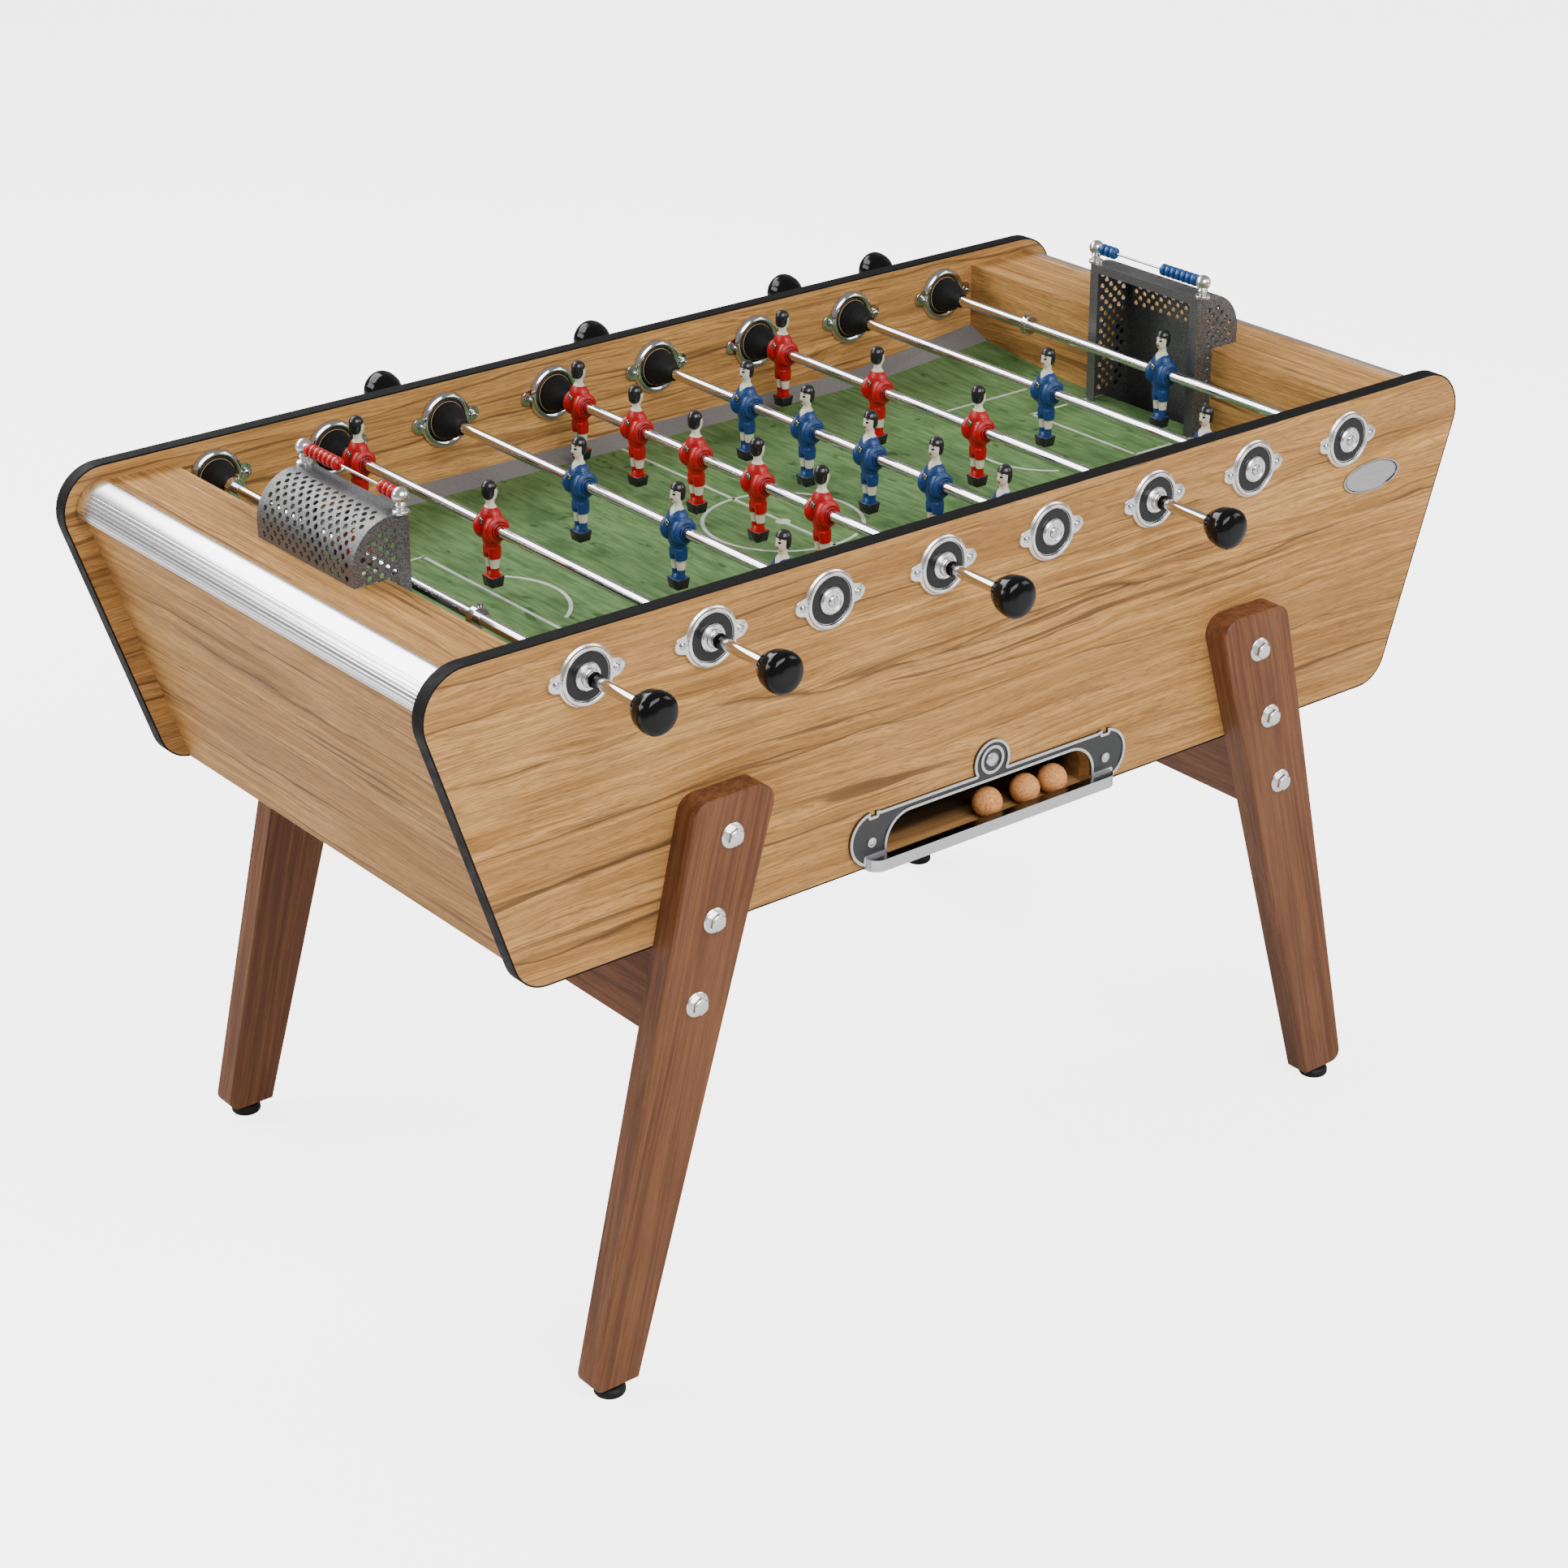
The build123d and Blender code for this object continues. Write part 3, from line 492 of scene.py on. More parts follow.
POLISHED = satin_metal("polished_aluminium", (0.92, 0.92, 0.925), 0.22, (90.0, 90.0, 90.0), 0.0)
TRIM = satin_metal("trim_aluminium", (0.86, 0.86, 0.865), 0.20, (12.0, 4.0, 12.0), 0.0, 0.04)
HAMMERED = hammered()
FIELD = field_paint("field_green", False)
FIELD_EDGE = field_paint("field_edges", True)
LINE = plain("field_line", (0.56, 0.60, 0.52), 0.45, 0.12, 70.0)
TAN = plain("tan_ring", (0.34, 0.22, 0.12), 0.5)
RED = plain("paint_red", (0.430, 0.003, 0.006), 0.36, 0.07, 130.0, 0.05, Specular_IOR_Level=0.38)
BLUE = plain("paint_blue", (0.008, 0.045, 0.165), 0.36, 0.07, 130.0, 0.05, Specular_IOR_Level=0.38)
SKIN = plain("paint_cream", (0.640, 0.600, 0.480), 0.36, 0.06, 110.0, 0.06)
HAIR = plain("paint_black", (0.012, 0.012, 0.013), 0.26, 0.08, 110.0, 0.06)
LIPS = plain("paint_lips", (0.42, 0.02, 0.02), 0.35)
BEAD_RED = plain("bead_red", (0.450, 0.003, 0.006), 0.20, 0.04, Specular_IOR_Level=0.40)
BEAD_BLUE = plain("bead_blue", (0.009, 0.060, 0.230), 0.20, 0.04, Specular_IOR_Level=0.40)
CORK = cork()

NODE_MATERIALS = {
    "side_panel_front": OAK_X,
    "side_panel_rear": OAK_X,
    "edge_bands": BAND,
    "end_panels": OAK_Y,
    "end_decks": OAK_Y,
    "bottom_panels": BOARD,
    "ball_return": return_board(),
    "playfield": FIELD,
    "field_ramps": FIELD_EDGE,
    "bearing_bolts": CHROME,
    "tray_plate": tray_plate_paint(),
    "tray_lip": lip_metal(),
    "nameplate": nameplate_metal(),
    "legs_front": MAHOGANY_LEG,
    "legs_rear": MAHOGANY_LEG,
    "stretchers": MAHOGANY_CROSS,
}
for n in BARS:
    NODE_MATERIALS[f"bar_{n}_core"] = CHROME
    NODE_MATERIALS[f"bar_{n}_tube"] = CHROME
for node, material in NODE_MATERIALS.items():
    obj = frame["nodes"][node]
    if not obj.material_slots:
        obj.data.materials.append(material)
    for each in obj.material_slots:
        each.material = material


# ---- mesh tools


def rounded(points, steps=4):
    """An outline's points, where a point (x, y, radius) becomes an arc of that radius."""
    result = []
    for i, point in enumerate(points):
        if len(point) == 2:
            result.append(point)
            continue
        here = Vector(point[:2])
        before = (Vector(points[i - 1][:2]) - here).normalized()
        after = (Vector(points[(i + 1) % len(points)][:2]) - here).normalized()
        half = before.angle(after) / 2
        reach = point[2] / math.tan(half)
        centre = here + (before + after).normalized() * (point[2] / math.sin(half))
        start = here + before * reach - centre
        end = here + after * reach - centre
        turn = start.angle_signed(end)
        for k in range(steps + 1):
            arm = start.copy()
            arm.rotate(Matrix.Rotation(-turn * k / steps, 2))
            result.append(tuple(centre + arm))
    return result


def numbered(count, size):
    """Vertex numbers of rings that follow one another."""
    return [list(range(i * size, (i + 1) * size)) for i in range(count)]


def skin(rings):
    """Faces from each ring of vertex numbers to the next; a repeated number gives triangles."""
    faces = []
    for lower, upper in zip(rings, rings[1:]):
        for k in range(len(lower)):
            m = (k + 1) % len(lower)
            corners = list(dict.fromkeys((lower[k], lower[m], upper[m], upper[k])))
            if len(corners) > 2:
                faces.append(corners)
    return faces


def cut(bm, point, normal, faces=None):
    """New edges along a plane, through the whole mesh or some of its faces."""
    if faces is None:
        geom = bm.verts[:] + bm.edges[:] + bm.faces[:]
    else:
        geom = list({v for f in faces for v in f.verts}) + list({e for f in faces for e in f.edges})
        geom += faces
    bmesh.ops.bisect_plane(bm, geom=geom, dist=1e-5, plane_co=point, plane_no=normal)


class Piece:
    """A mesh in the making.  Shapes are added in millimetres, each with its material's number."""

    def __init__(self, *materials):
        self.bm = bmesh.new()
        self.materials = materials

    def place(self, verts, faces, matrix=Matrix(), slot=0):
        made = [self.bm.verts.new(matrix @ Vector(v)) for v in verts]
        new = []
        for face in faces:
            new.append(self.bm.faces.new([made[i] for i in face]))
            new[-1].material_index = slot
        if matrix.determinant() < 0:
            bmesh.ops.reverse_faces(self.bm, faces=new)
        return new

    def turned(self, profile, matrix=Matrix(), slot=0, steps=48):
        """A surface of revolution about local Z from (radius, height) points, in order so that
        the outside is on the right of the way up."""
        verts, rings = [], []
        for radius, height in profile:
            if radius < 1e-6:
                rings.append([len(verts)] * steps)
                verts.append((0, 0, height))
                continue
            rings.append(list(range(len(verts), len(verts) + steps)))
            for k in range(steps):
                a = 2 * math.pi * k / steps
                verts.append((radius * math.cos(a), radius * math.sin(a), height))
        return self.place(verts, skin(rings), matrix, slot)

    def prism(self, outline, low, high, matrix=Matrix(), slot=0, bevel=0.0):
        """An outline in local X and Y, anticlockwise, between two heights; bevel rounds its top."""
        n = len(outline)
        verts = [(x, y, low) for x, y in outline] + [(x, y, high) for x, y in outline]
        faces = [list(range(n))[::-1], list(range(n, 2 * n))]
        faces += [[k, (k + 1) % n, (k + 1) % n + n, k + n] for k in range(n)]
        new = self.place(verts, faces, matrix, slot)
        if bevel:
            bmesh.ops.bevel(
                self.bm, geom=list(new[1].edges), offset=bevel, segments=3, affect="EDGES",
                profile=0.5, material=-1,
            )
        return new

    def loft(self, levels, matrix=Matrix(), slot=0, steps=32):
        """A closed form through ellipses, each (height, x centre, y centre, x radius, y radius)."""
        verts = []
        for z, cx, cy, rx, ry in levels:
            for k in range(steps):
                a = 2 * math.pi * k / steps
                verts.append((cx + rx * math.cos(a), cy + ry * math.sin(a), z))
        rings = numbered(len(levels), steps)
        return self.place(verts, [rings[0][::-1], *skin(rings), rings[-1]], matrix, slot)

    def mesh(self, name, sharp=38.0, scale=MM):
        bmesh.ops.recalc_face_normals(self.bm, faces=self.bm.faces)
        bmesh.ops.scale(self.bm, vec=all_ways(scale), verts=self.bm.verts)
        data = bpy.data.meshes.new(name)
        self.bm.to_mesh(data)
        self.bm.free()
        for material in self.materials:
            data.materials.append(material)
        data.shade_smooth()
        data.set_sharp_from_angle(angle=math.radians(sharp))
        return data

    def finish(self, name, body, slot, *nodes, sharp=38.0):
        obj = bpy.data.objects.new(name, self.mesh(name, sharp))
        bpy.context.scene.collection.objects.link(obj)
        return attach(obj, body, slot, *nodes)


def attach(obj, body, slot, *nodes):
    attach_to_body(obj, body)
    if nodes:
        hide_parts(*nodes)
    return obj


def at(x, y, z):
    return Matrix.Translation((x, y, z))


def facing_y(side):
    """Turns local +Z to the table's +Y or -Y, keeping local X along the table."""
    return Matrix.Rotation(-side * math.pi / 2, 4, "X")


def circle(x, y, radius, steps):
    """Points round a circle, anticlockwise from +X."""
    turns = [2 * math.pi * k / steps for k in range(steps)]
    return [(x + radius * math.cos(a), y + radius * math.sin(a)) for a in turns]


def on_panel(n, side):
    """Places a shape at a bar's bearing: local Z = 0 is the panel's outer face, +Z outward."""
    return at(BAR_X[n], side * PANEL_OUT, BAR_Z) @ facing_y(side)


# ---- bearings


INWARD = Matrix.Rotation(math.pi, 4, "X")


def bearings():
    """Each bar's two bearings, as the bar's number, the side and the place of the bearing."""
    for n in BARS:
        for side in (-1, 1):
            yield n, side, on_panel(n, side)


def ear_plate(piece, matrix, low, high):
    """The flat plate with two ears, for the screws, that a bearing's parts stand on."""
    outline = rounded([
        (EAR_X + 9.0, -7.5, 7.0), (EAR_X + 9.0, 7.5, 7.0), (24.0, 12.5, 9.0), (24.0, 25.0),
        (-24.0, 25.0), (-24.0, 12.5, 9.0), (-EAR_X - 9.0, 7.5, 7.0), (-EAR_X - 9.0, -7.5, 7.0),
        (-24.0, -12.5, 9.0), (-24.0, -25.0), (24.0, -25.0), (24.0, -12.5, 9.0),
    ])
    piece.prism(outline, low, high, matrix, bevel=1.1)


def bearing_plates():
    """Cast plates with a black ring, open where the bar comes out and capped elsewhere."""
    piece = Piece(CAST, ENAMEL)
    rim = rounded([
        (34.0, 0.0), (34.2, 3.4, 1.6), (31.6, 5.0, 1.5), (30.9, 7.6, 1.2), (27.4, 7.7, 1.4),
        (26.6, 4.7), (26.4, 4.7),
    ])
    boss = rounded([
        (15.6, 4.7), (15.3, 7.2, 1.2), (13.4, 9.4, 1.6), (10.7, 9.6, 0.6), (10.4, 7.6), (9.9, 7.6),
    ])
    sleeve = rounded([(9.9, 7.6), (9.6, 12.2, 1.0), (8.6, 13.0, 0.6), (8.6, 15.9, 0.3), (7.7, 16.0)])
    cap = rounded([(9.9, 7.6), (9.4, 8.6, 0.7), (6.6, 8.6, 0.5), (6.5, 7.3), (0.0, 7.2)])
    enamel = rounded([(26.4, 4.7), (25.6, 5.3, 0.5), (16.4, 5.3, 0.5), (15.6, 4.7)])
    for n, side, here in bearings():
        piece.turned(rim, here)
        piece.turned(enamel, here, 1)
        piece.turned(boss, here)
        piece.turned(sleeve if side == HANDLE[n] else cap, here, steps=32)
        ear_plate(piece, here, 0.0, 4.2)
    piece.finish("bearing_plates_cast", "table", "cast_aluminium", "bearing_plates")


def inner_flanges():
    """Chrome rings inside the panels, round a rubber seat and its tan washer."""
    piece = Piece(CHROME, RUBBER, TAN)
    ring = rounded([
        (34.0, 18.0), (34.2, 20.6, 1.4), (32.6, 24.0, 2.2), (29.0, 26.4, 2.6), (25.2, 24.4, 1.2),
        (24.6, 21.0), (23.4, 20.8),
    ])
    seat = rounded([(24.7, 22.5), (24.2, 24.2, 0.6), (22.2, 24.2, 0.5), (21.9, 21.0)])
    tan = rounded([(23.6, 24.0), (23.3, 24.9, 0.3), (22.7, 24.9, 0.3), (22.5, 24.0)])
    for _, _, outside in bearings():
        here = outside @ INWARD
        piece.turned(ring, here)
        piece.turned(seat, here, 1)
        piece.turned(tan, here, 2)
        ear_plate(piece, here, 18.0, 21.8)
    piece.finish("inner_flanges_chrome", "table", "chrome", "inner_flanges")


def rod_bushes():
    """Black boots inside the panels, and the bushes' noses where the bars come out."""
    piece = Piece(RUBBER, BLACK)
    boot = rounded([
        (22.0, 18.0), (22.2, 22.0, 2.0), (21.6, 30.0, 9.0), (18.8, 38.5, 9.0), (14.0, 46.5, 8.0),
        (10.6, 51.6, 3.0), (9.7, 55.0, 1.5), (9.5, 57.5, 0.6), (6.6, 57.5),
    ], 5)
    nose = rounded([
        (8.3, 15.9), (8.5, 17.4, 0.4), (8.1, 19.0, 0.6), (8.1, 23.2, 0.7),
        (7.2, 24.0, 0.4), (6.6, 24.0),
    ])
    for n, side, here in bearings():
        piece.turned(boot, here @ INWARD)
        if side == HANDLE[n]:
            piece.turned(nose, here, 1, steps=32)
    piece.finish("rod_bushes_rubber", "table", "black_rubber", "rod_bushes")


# ---- goals


def perforated(outline, holes, thickness, cuts=()):
    """A flat sheet in local X and Y with round holes, from local Z 0 to its thickness."""
    curve = bpy.data.curves.new("sheet", "CURVE")
    curve.dimensions = "2D"
    curve.fill_mode = "BOTH"
    curve.extrude = thickness / 2
    loops = [outline] + [circle(x, y, HOLE_R, 16) for x, y in holes]
    for loop in loops:
        spline = curve.splines.new("POLY")
        spline.points.add(len(loop) - 1)
        for point, (x, y) in zip(spline.points, loop):
            point.co = (x, y, 0, 1)
        spline.use_cyclic_u = True
    carrier = bpy.data.objects.new("sheet", curve)
    bpy.context.scene.collection.objects.link(carrier)
    bpy.context.view_layer.update()
    data = bpy.data.meshes.new_from_object(carrier)
    bpy.data.objects.remove(carrier)
    bpy.data.curves.remove(curve)
    bm = bmesh.new()
    bm.from_mesh(data)
    bpy.data.meshes.remove(data)
    bmesh.ops.remove_doubles(bm, verts=bm.verts, dist=0.001)
    bmesh.ops.translate(bm, vec=(0, 0, thickness / 2), verts=bm.verts)
    for x in cuts:
        cut(bm, (x, 0, 0), (1, 0, 0))
    bm.verts.index_update()
    verts = [v.co.copy() for v in bm.verts]
    faces = [[v.index for v in f.verts] for f in bm.faces]
    bm.free()
    return verts, faces


HOOD_X, HOOD_Z = GOAL_BACK - HOOD_R, GOAL_TOP - HOOD_R      # the bend's centre
HOOD_ARC = HOOD_R * math.pi / 2


def hood_path(s):
    """The outer skin's (x, z) and its outward direction, s millimetres up from the sheet's foot."""
    along = s - (HOOD_Z - GOAL_LOW)
    if along < 0:
        return GOAL_BACK, GOAL_LOW + s, 1.0, 0.0
    if along < HOOD_ARC:
        out_x, out_z = math.cos(along / HOOD_R), math.sin(along / HOOD_R)
        return HOOD_X + HOOD_R * out_x, HOOD_Z + HOOD_R * out_z, out_x, out_z
    return HOOD_X - (along - HOOD_ARC), GOAL_TOP, 0.0, 1.0


def staggered(first, rows, second, count):
    """Hole centres in rows, every second row shifted."""
    for row in range(rows):
        for k in range(count):
            shift = HOLE_STEP if row % 2 else 0
            yield first + row * HOLE_STEP, second + 2 * HOLE_STEP * k + shift


def goal_cage(end):
    """Side plates and hood of hammered sheet, staggered holes, and the front frame."""
    piece = Piece(HAMMERED)
    mirror = Matrix.Scale(end, 4, (1, 0, 0))
    inner = GOAL_HALF_W - SHEET
    straight = HOOD_Z - GOAL_LOW
    total = straight + HOOD_ARC + HOOD_X - GOAL_FRONT
    holes = [(s, y) for s, y in staggered(DECK_TOP - GOAL_LOW + 7.0, 12, -82.0, 12) if y < 84]
    cuts = [straight + HOOD_ARC * k / 26 for k in range(27)]
    outline = [(0, -inner), (total, -inner), (total, inner), (0, inner)]
    verts, faces = perforated(outline, holes, SHEET, cuts)
    bent = []
    for v in verts:
        x, z, nx, nz = hood_path(v.x)
        bent.append((x - nx * v.z, v.y, z - nz * v.z))
    piece.place(bent, faces, mirror)

    foot = FIELD_Z + 0.3
    plate = rounded([
        (GOAL_FRONT, foot), (END_WALL_X + 0.5, foot), (END_WALL_X + 0.5, GOAL_LOW),
        (GOAL_BACK, GOAL_LOW), (GOAL_BACK, GOAL_TOP, HOOD_R), (GOAL_FRONT, GOAL_TOP),
    ], 16)
    holes = []
    for z, x in staggered(FIELD_Z + 12.0, 24, GOAL_FRONT + 20.0, 8):
        corner = math.hypot(max(0.0, x - HOOD_X), max(0.0, z - HOOD_Z))
        if x < GOAL_BACK - 8 and z < GOAL_TOP - 14 and corner < HOOD_R - 8:
            holes.append((x, z))
    upright = Matrix.Rotation(math.pi / 2, 4, "X")
    verts, faces = perforated(plate, holes, SHEET)
    for y in (-inner, GOAL_HALF_W):
        piece.place(verts, faces, mirror @ at(0, y, 0) @ upright)

    gap, lintel, top = GOAL_HALF_W - POST_W, GOAL_TOP - LINTEL_H, GOAL_TOP - SHEET
    frame_outline = [
        (-inner, foot), (-gap, foot), (-gap, lintel), (gap, lintel), (gap, foot), (inner, foot),
        (inner, top), (-inner, top),
    ]
    verts, faces = perforated(frame_outline, [], SHEET)
    to_front = Matrix(((0, 0, 1, GOAL_FRONT), (1, 0, 0, 0), (0, 1, 0, 0), (0, 0, 0, 1)))
    piece.place(verts, faces, mirror @ to_front)
    return piece


def goals():
    for end, name in ((-1, "goal_cage_left"), (1, "goal_cage_right")):
        goal_cage(end).finish(name, "table", "goal_grey", "goal_cages", sharp=30)


def finials():
    """Turned balls on stepped feet, and the wires between them."""
    piece = Piece(POLISHED, CHROME)
    foot = rounded([
        (9.2, 0.0), (9.3, 3.0, 0.9), (7.4, 4.0, 0.9), (4.9, 5.0, 0.6), (4.6, 7.2, 0.6), (6.2, 8.2, 0.6),
        (6.2, 9.6, 0.5), (4.6, 11.5),
    ])
    start = math.asin(4.5 / FINIAL_R)
    for end in (-1, 1):
        for side in (-1, 1):
            base = at(end * FINIAL_X, side * FINIAL_Y, GOAL_TOP)
            turns = [start + (math.pi - start) * k / 24 for k in range(25)]
            ball = [
                (FINIAL_R * math.sin(a), WIRE_Z - GOAL_TOP - FINIAL_R * math.cos(a)) for a in turns
            ]
            piece.turned([(0.0, 0.0)] + foot + ball, base)
        reach = FINIAL_Y - FINIAL_R + 0.4
        wire = [(0.0, -reach), (WIRE_R, -reach), (WIRE_R, reach), (0.0, reach)]
        piece.turned(wire, at(end * FINIAL_X, 0, WIRE_Z) @ facing_y(1), 1, steps=16)
    piece.finish("finials_turned", "table", "cast_aluminium", "finials_and_wires")


def bead_group(name, body, slot, node, groups, *materials):
    """Round-edged beads stacked against a finial; groups give (end, side, count, material)."""
    piece = Piece(*materials)
    profile = rounded([
        (1.9, -4.25), (4.0, -4.25, 0.3), (5.4, -3.3, 0.6), (BEAD_R, -2.9, 1.9),
        (BEAD_R, 2.9, 1.9), (5.4, 3.3, 0.6), (4.0, 4.25, 0.3), (1.9, 4.25),
    ], 5)
    first = FINIAL_Y - FINIAL_R - 4.6
    for end, side, count, number in groups:
        for i in range(count):
            y = side * (first - i * BEAD_PITCH)
            piece.turned(profile, at(end * FINIAL_X, y, WIRE_Z) @ facing_y(1), number, steps=32)
    piece.finish(name, body, slot, node)


# ---- trims


def end_trims():
    """Bull-nosed aluminium sections, finely grooved low down and rounded at their ends."""
    piece = Piece(TRIM)
    crown_start = Vector((DECK_OUT_X, DECK_TOP + 5.0))
    crown_end = Vector((723.0, 842.0))
    through = Vector((713.0, DECK_TOP - 6.0))
    centre, radius = circle_through(crown_start, through, crown_end)
    a0 = math.atan2(*(crown_start - centre).yx)
    a1 = math.atan2(*(crown_end - centre).yx)
    count, smooth, apart, depth = 84, 36, 7, 0.35      # the outline's steps, and its grooves
    profile = []
    for k in range(count + 1):
        a = a0 + (a1 - a0) * k / count
        groove = depth if k > smooth and k % apart == 4 else 0.0
        profile.append(tuple(centre + Vector((math.cos(a), math.sin(a))) * (radius - groove)))
    profile += [(719.0, 842.0), (714.1, 842.0), (718.6, 855.8), (DECK_OUT_X, 856.6)]
    middle = Vector((704.0, 862.0))
    nose = 6.0
    stations = []
    for k in range(5):
        a = math.pi / 2 * k / 4
        stations.append((-PANEL_IN + nose - nose * math.cos(a), nose - nose * math.sin(a)))
    stations += [(-y, inset) for y, inset in stations[::-1]]
    for end in (-1, 1):
        verts = []
        for y, inset in stations:
            for x, z in profile:
                point = Vector((x, z))
                point -= (point - middle).normalized() * inset * 0.35
                verts.append((end * point.x, y, point.y))
        rings = numbered(len(stations), len(profile))
        piece.place(verts, [*skin(rings), rings[0], rings[-1][::-1]])
    piece.finish("end_trims_grooved", "table", "aluminium_trim", "end_trims", sharp=50)


def circle_through(a, b, c):
    """Centre and radius of the circle through three points."""
    ax, ay, bx, by, cx, cy = *a, *b, *c
    d = 2 * (ax * (by - cy) + bx * (cy - ay) + cx * (ay - by))
    aa, bb, cc = a.length_squared, b.length_squared, c.length_squared
    x = (aa * (by - cy) + bb * (cy - ay) + cc * (ay - by)) / d
    y = (aa * (cx - bx) + bb * (ax - cx) + cc * (bx - ax)) / d
    centre = Vector((x, y))
    return centre, (a - centre).length


# ---- field lines


def field_lines():
    """Printed lines, a tenth of a millimetre proud of the field."""
    piece = Piece(LINE)
    width = 4.6
    ring = 94
    area, small_area = (387, 170), (476, 94)      # where each starts, and half its width
    z = FIELD_Z + 0.12

    def ribbon(points, closed=False):
        n = len(points)
        verts = []
        for i, p in enumerate(points):
            before = points[i - 1] if closed or i else p
            after = points[(i + 1) % n] if closed or i < n - 1 else p
            way = (Vector(after) - Vector(before)).normalized()
            side = Vector((-way.y, way.x)) * width / 2
            verts += [(p[0] + side.x, p[1] + side.y, z), (p[0] - side.x, p[1] - side.y, z)]
        faces = []
        for i in range(n if closed else n - 1):
            a, b = 2 * i, 2 * ((i + 1) % n)
            faces.append([a, a + 1, b + 1, b])
        piece.place(verts, faces)

    def arc(cx, cy, radius, start, end):
        count = max(4, round(abs(end - start) / 4))
        points = []
        for k in range(count + 1):
            a = math.radians(start + (end - start) * k / count)
            points.append((cx + radius * math.cos(a), cy + radius * math.sin(a)))
        return points

    ribbon([(0, -FIELD_HALF_W), (0, FIELD_HALF_W)])
    ribbon(arc(0, 0, ring, 0, 360)[:-1], True)
    for end in (-1, 1):
        x = end * (END_WALL_X - 1)
        for depth, half in (area, small_area):
            front = end * depth
            for side in (-1, 1):
                ribbon([(x, side * half), (front - end * width / 2, side * half)])
            ribbon([(front, -half), (front, half)])
        spread = math.degrees(math.asin(89 / ring)) * 0.775
        middle = 180 if end > 0 else 0
        ribbon(arc(end * 418, 0, ring, middle - spread, middle + spread))
    piece.place([(x, y, z + 0.02) for x, y in circle(0, 0, 9, 24)], [list(range(24))])
    piece.finish("field_lines", "table", "field_green")


# ---- figures


def figure_body():
    """The moulded figure about the bar's axis, facing +X, in millimetres."""
    piece = Piece()
    shirt = [
        (-17.5, 0.0, 0, 9.6, 11.8), (-15.0, 0.2, 0, 10.0, 12.2), (-6, 0.4, 0, 10.6, 12.2),
        (4, 0.8, 0, 11.6, 12.8), (12, 0.8, 0, 11.4, 13.4), (17, 0.4, 0, 10.2, 13.2),
        (21, 0.1, 0, 8.4, 11.0), (24.2, 0, 0, 6.4, 7.8), (26.4, 0, 0, 5.2, 5.6),
    ]
    piece.loft(shirt)
    piece.loft([(-29, 0, 0, 8.0, 10.2), (-15, 0, 0, 9.0, 11.2)])
    for side in (-1, 1):
        shorts, leg = side * 5.4, side * 4.6
        piece.loft([(-35.6, 0, shorts, 7.0, 5.2), (-33, 0, shorts, 7.6, 5.6), (-22, 0, leg, 8.4, 6.4)])
        piece.loft([
            (-57, 0.4, side * 4.3, 5.2, 4.0), (-50, 0.1, side * 4.4, 5.0, 4.1),
            (-46, 0, leg, 5.2, 4.3), (-40, 0, side * 4.7, 5.8, 4.6), (-30, 0, side * 4.8, 6.4, 5.0),
        ])
        shoulder = rounded([
            (0, 4.5), (13.2, 4.5, 3.0), (15.6, 8.4, 4.0), (15.6, 13.6, 3.2),
            (11.0, 16.0, 2.0), (0, 16.0),
        ])
        piece.turned(shoulder, facing_y(side), steps=40)
    piece.turned([(0, 20), (5.4, 20), (4.9, 27), (4.6, 34), (0, 34)], steps=24)
    piece.loft([
        (30.6, 1.9, 0, 2.6, 2.6), (31.6, 1.8, 0, 4.4, 4.0), (34, 1.5, 0, 6.2, 5.4),
        (38, 1.0, 0, 7.6, 6.6), (43, 0.4, 0, 8.3, 7.2), (48, -0.1, 0, 7.8, 7.0),
        (51.6, -0.4, 0, 5.8, 5.4), (53.2, -0.5, 0, 3.2, 3.0),
    ])
    piece.loft([(38.2, 8.2, 0, 2.2, 1.4), (39.4, 9.2, 0, 1.9, 1.3), (44.0, 7.8, 0, 1.0, 0.8)], steps=12)
    piece.loft([(34.4, 6.2, 0, 1.4, 1.8), (35.8, 7.0, 0, 1.7, 2.2), (37.0, 6.8, 0, 1.3, 1.6)], steps=12)
    piece.loft([(-58, 0.5, 0, 7.4, 8.4), (-54.6, 0.4, 0, 6.0, 7.4), (-52, 0.2, 0, 4.6, 6.2)])
    return remeshed(piece, 0.85, 4)


def foot_block(piece):
    levels = [(-69.4, 0.78, 0.9), (-68.9, 0.83, 0.7), (-57.3, 0.995, 0.7), (-56.8, 0.96, 0.9)]
    verts = []
    for z, grow, c in levels:
        x0, x1, y = -8.6 * grow, 9.6 * grow, 9.8 * grow
        verts += [
            (x0 + c, -y, z), (x1 - c, -y, z), (x1, -y + c, z), (x1, y - c, z),
            (x1 - c, y, z), (x0 + c, y, z), (x0, y - c, z), (x0, -y + c, z),
        ]
    rings = numbered(len(levels), 8)
    piece.place(verts, [rings[0][::-1], *skin(rings)], Matrix(), INK)
    piece.place(verts[-8:], [rings[0]], Matrix(), KIT)


def figure_hair():
    """A cap over the top and back of the head, ending in a line above the brow and by the ears."""
    piece = Piece()
    piece.loft([
        (33.4, -2.6, 0, 4.6, 5.0), (35.4, -2.4, 0, 6.2, 6.4), (39, -1.6, 0, 7.8, 7.6),
        (44, -0.8, 0, 8.9, 8.2), (48.6, -0.7, 0, 8.6, 7.9), (52.0, -0.8, 0, 6.6, 6.3),
        (53.8, -0.9, 0, 4.0, 4.0), (54.3, -0.9, 0, 1.6, 1.6),
    ])
    data = remeshed(piece, 0.8, 3)
    bm = bmesh.new()
    bm.from_mesh(data)
    front_side = ((1.2, 0, 0), Vector((1, 0, 0)))
    fringe = ((6.0, 0, 46.6), Vector((0.35, 0, -1)).normalized())
    keep_cut(bm, front_side, fringe)
    bm.to_mesh(data)
    bm.free()
    return data


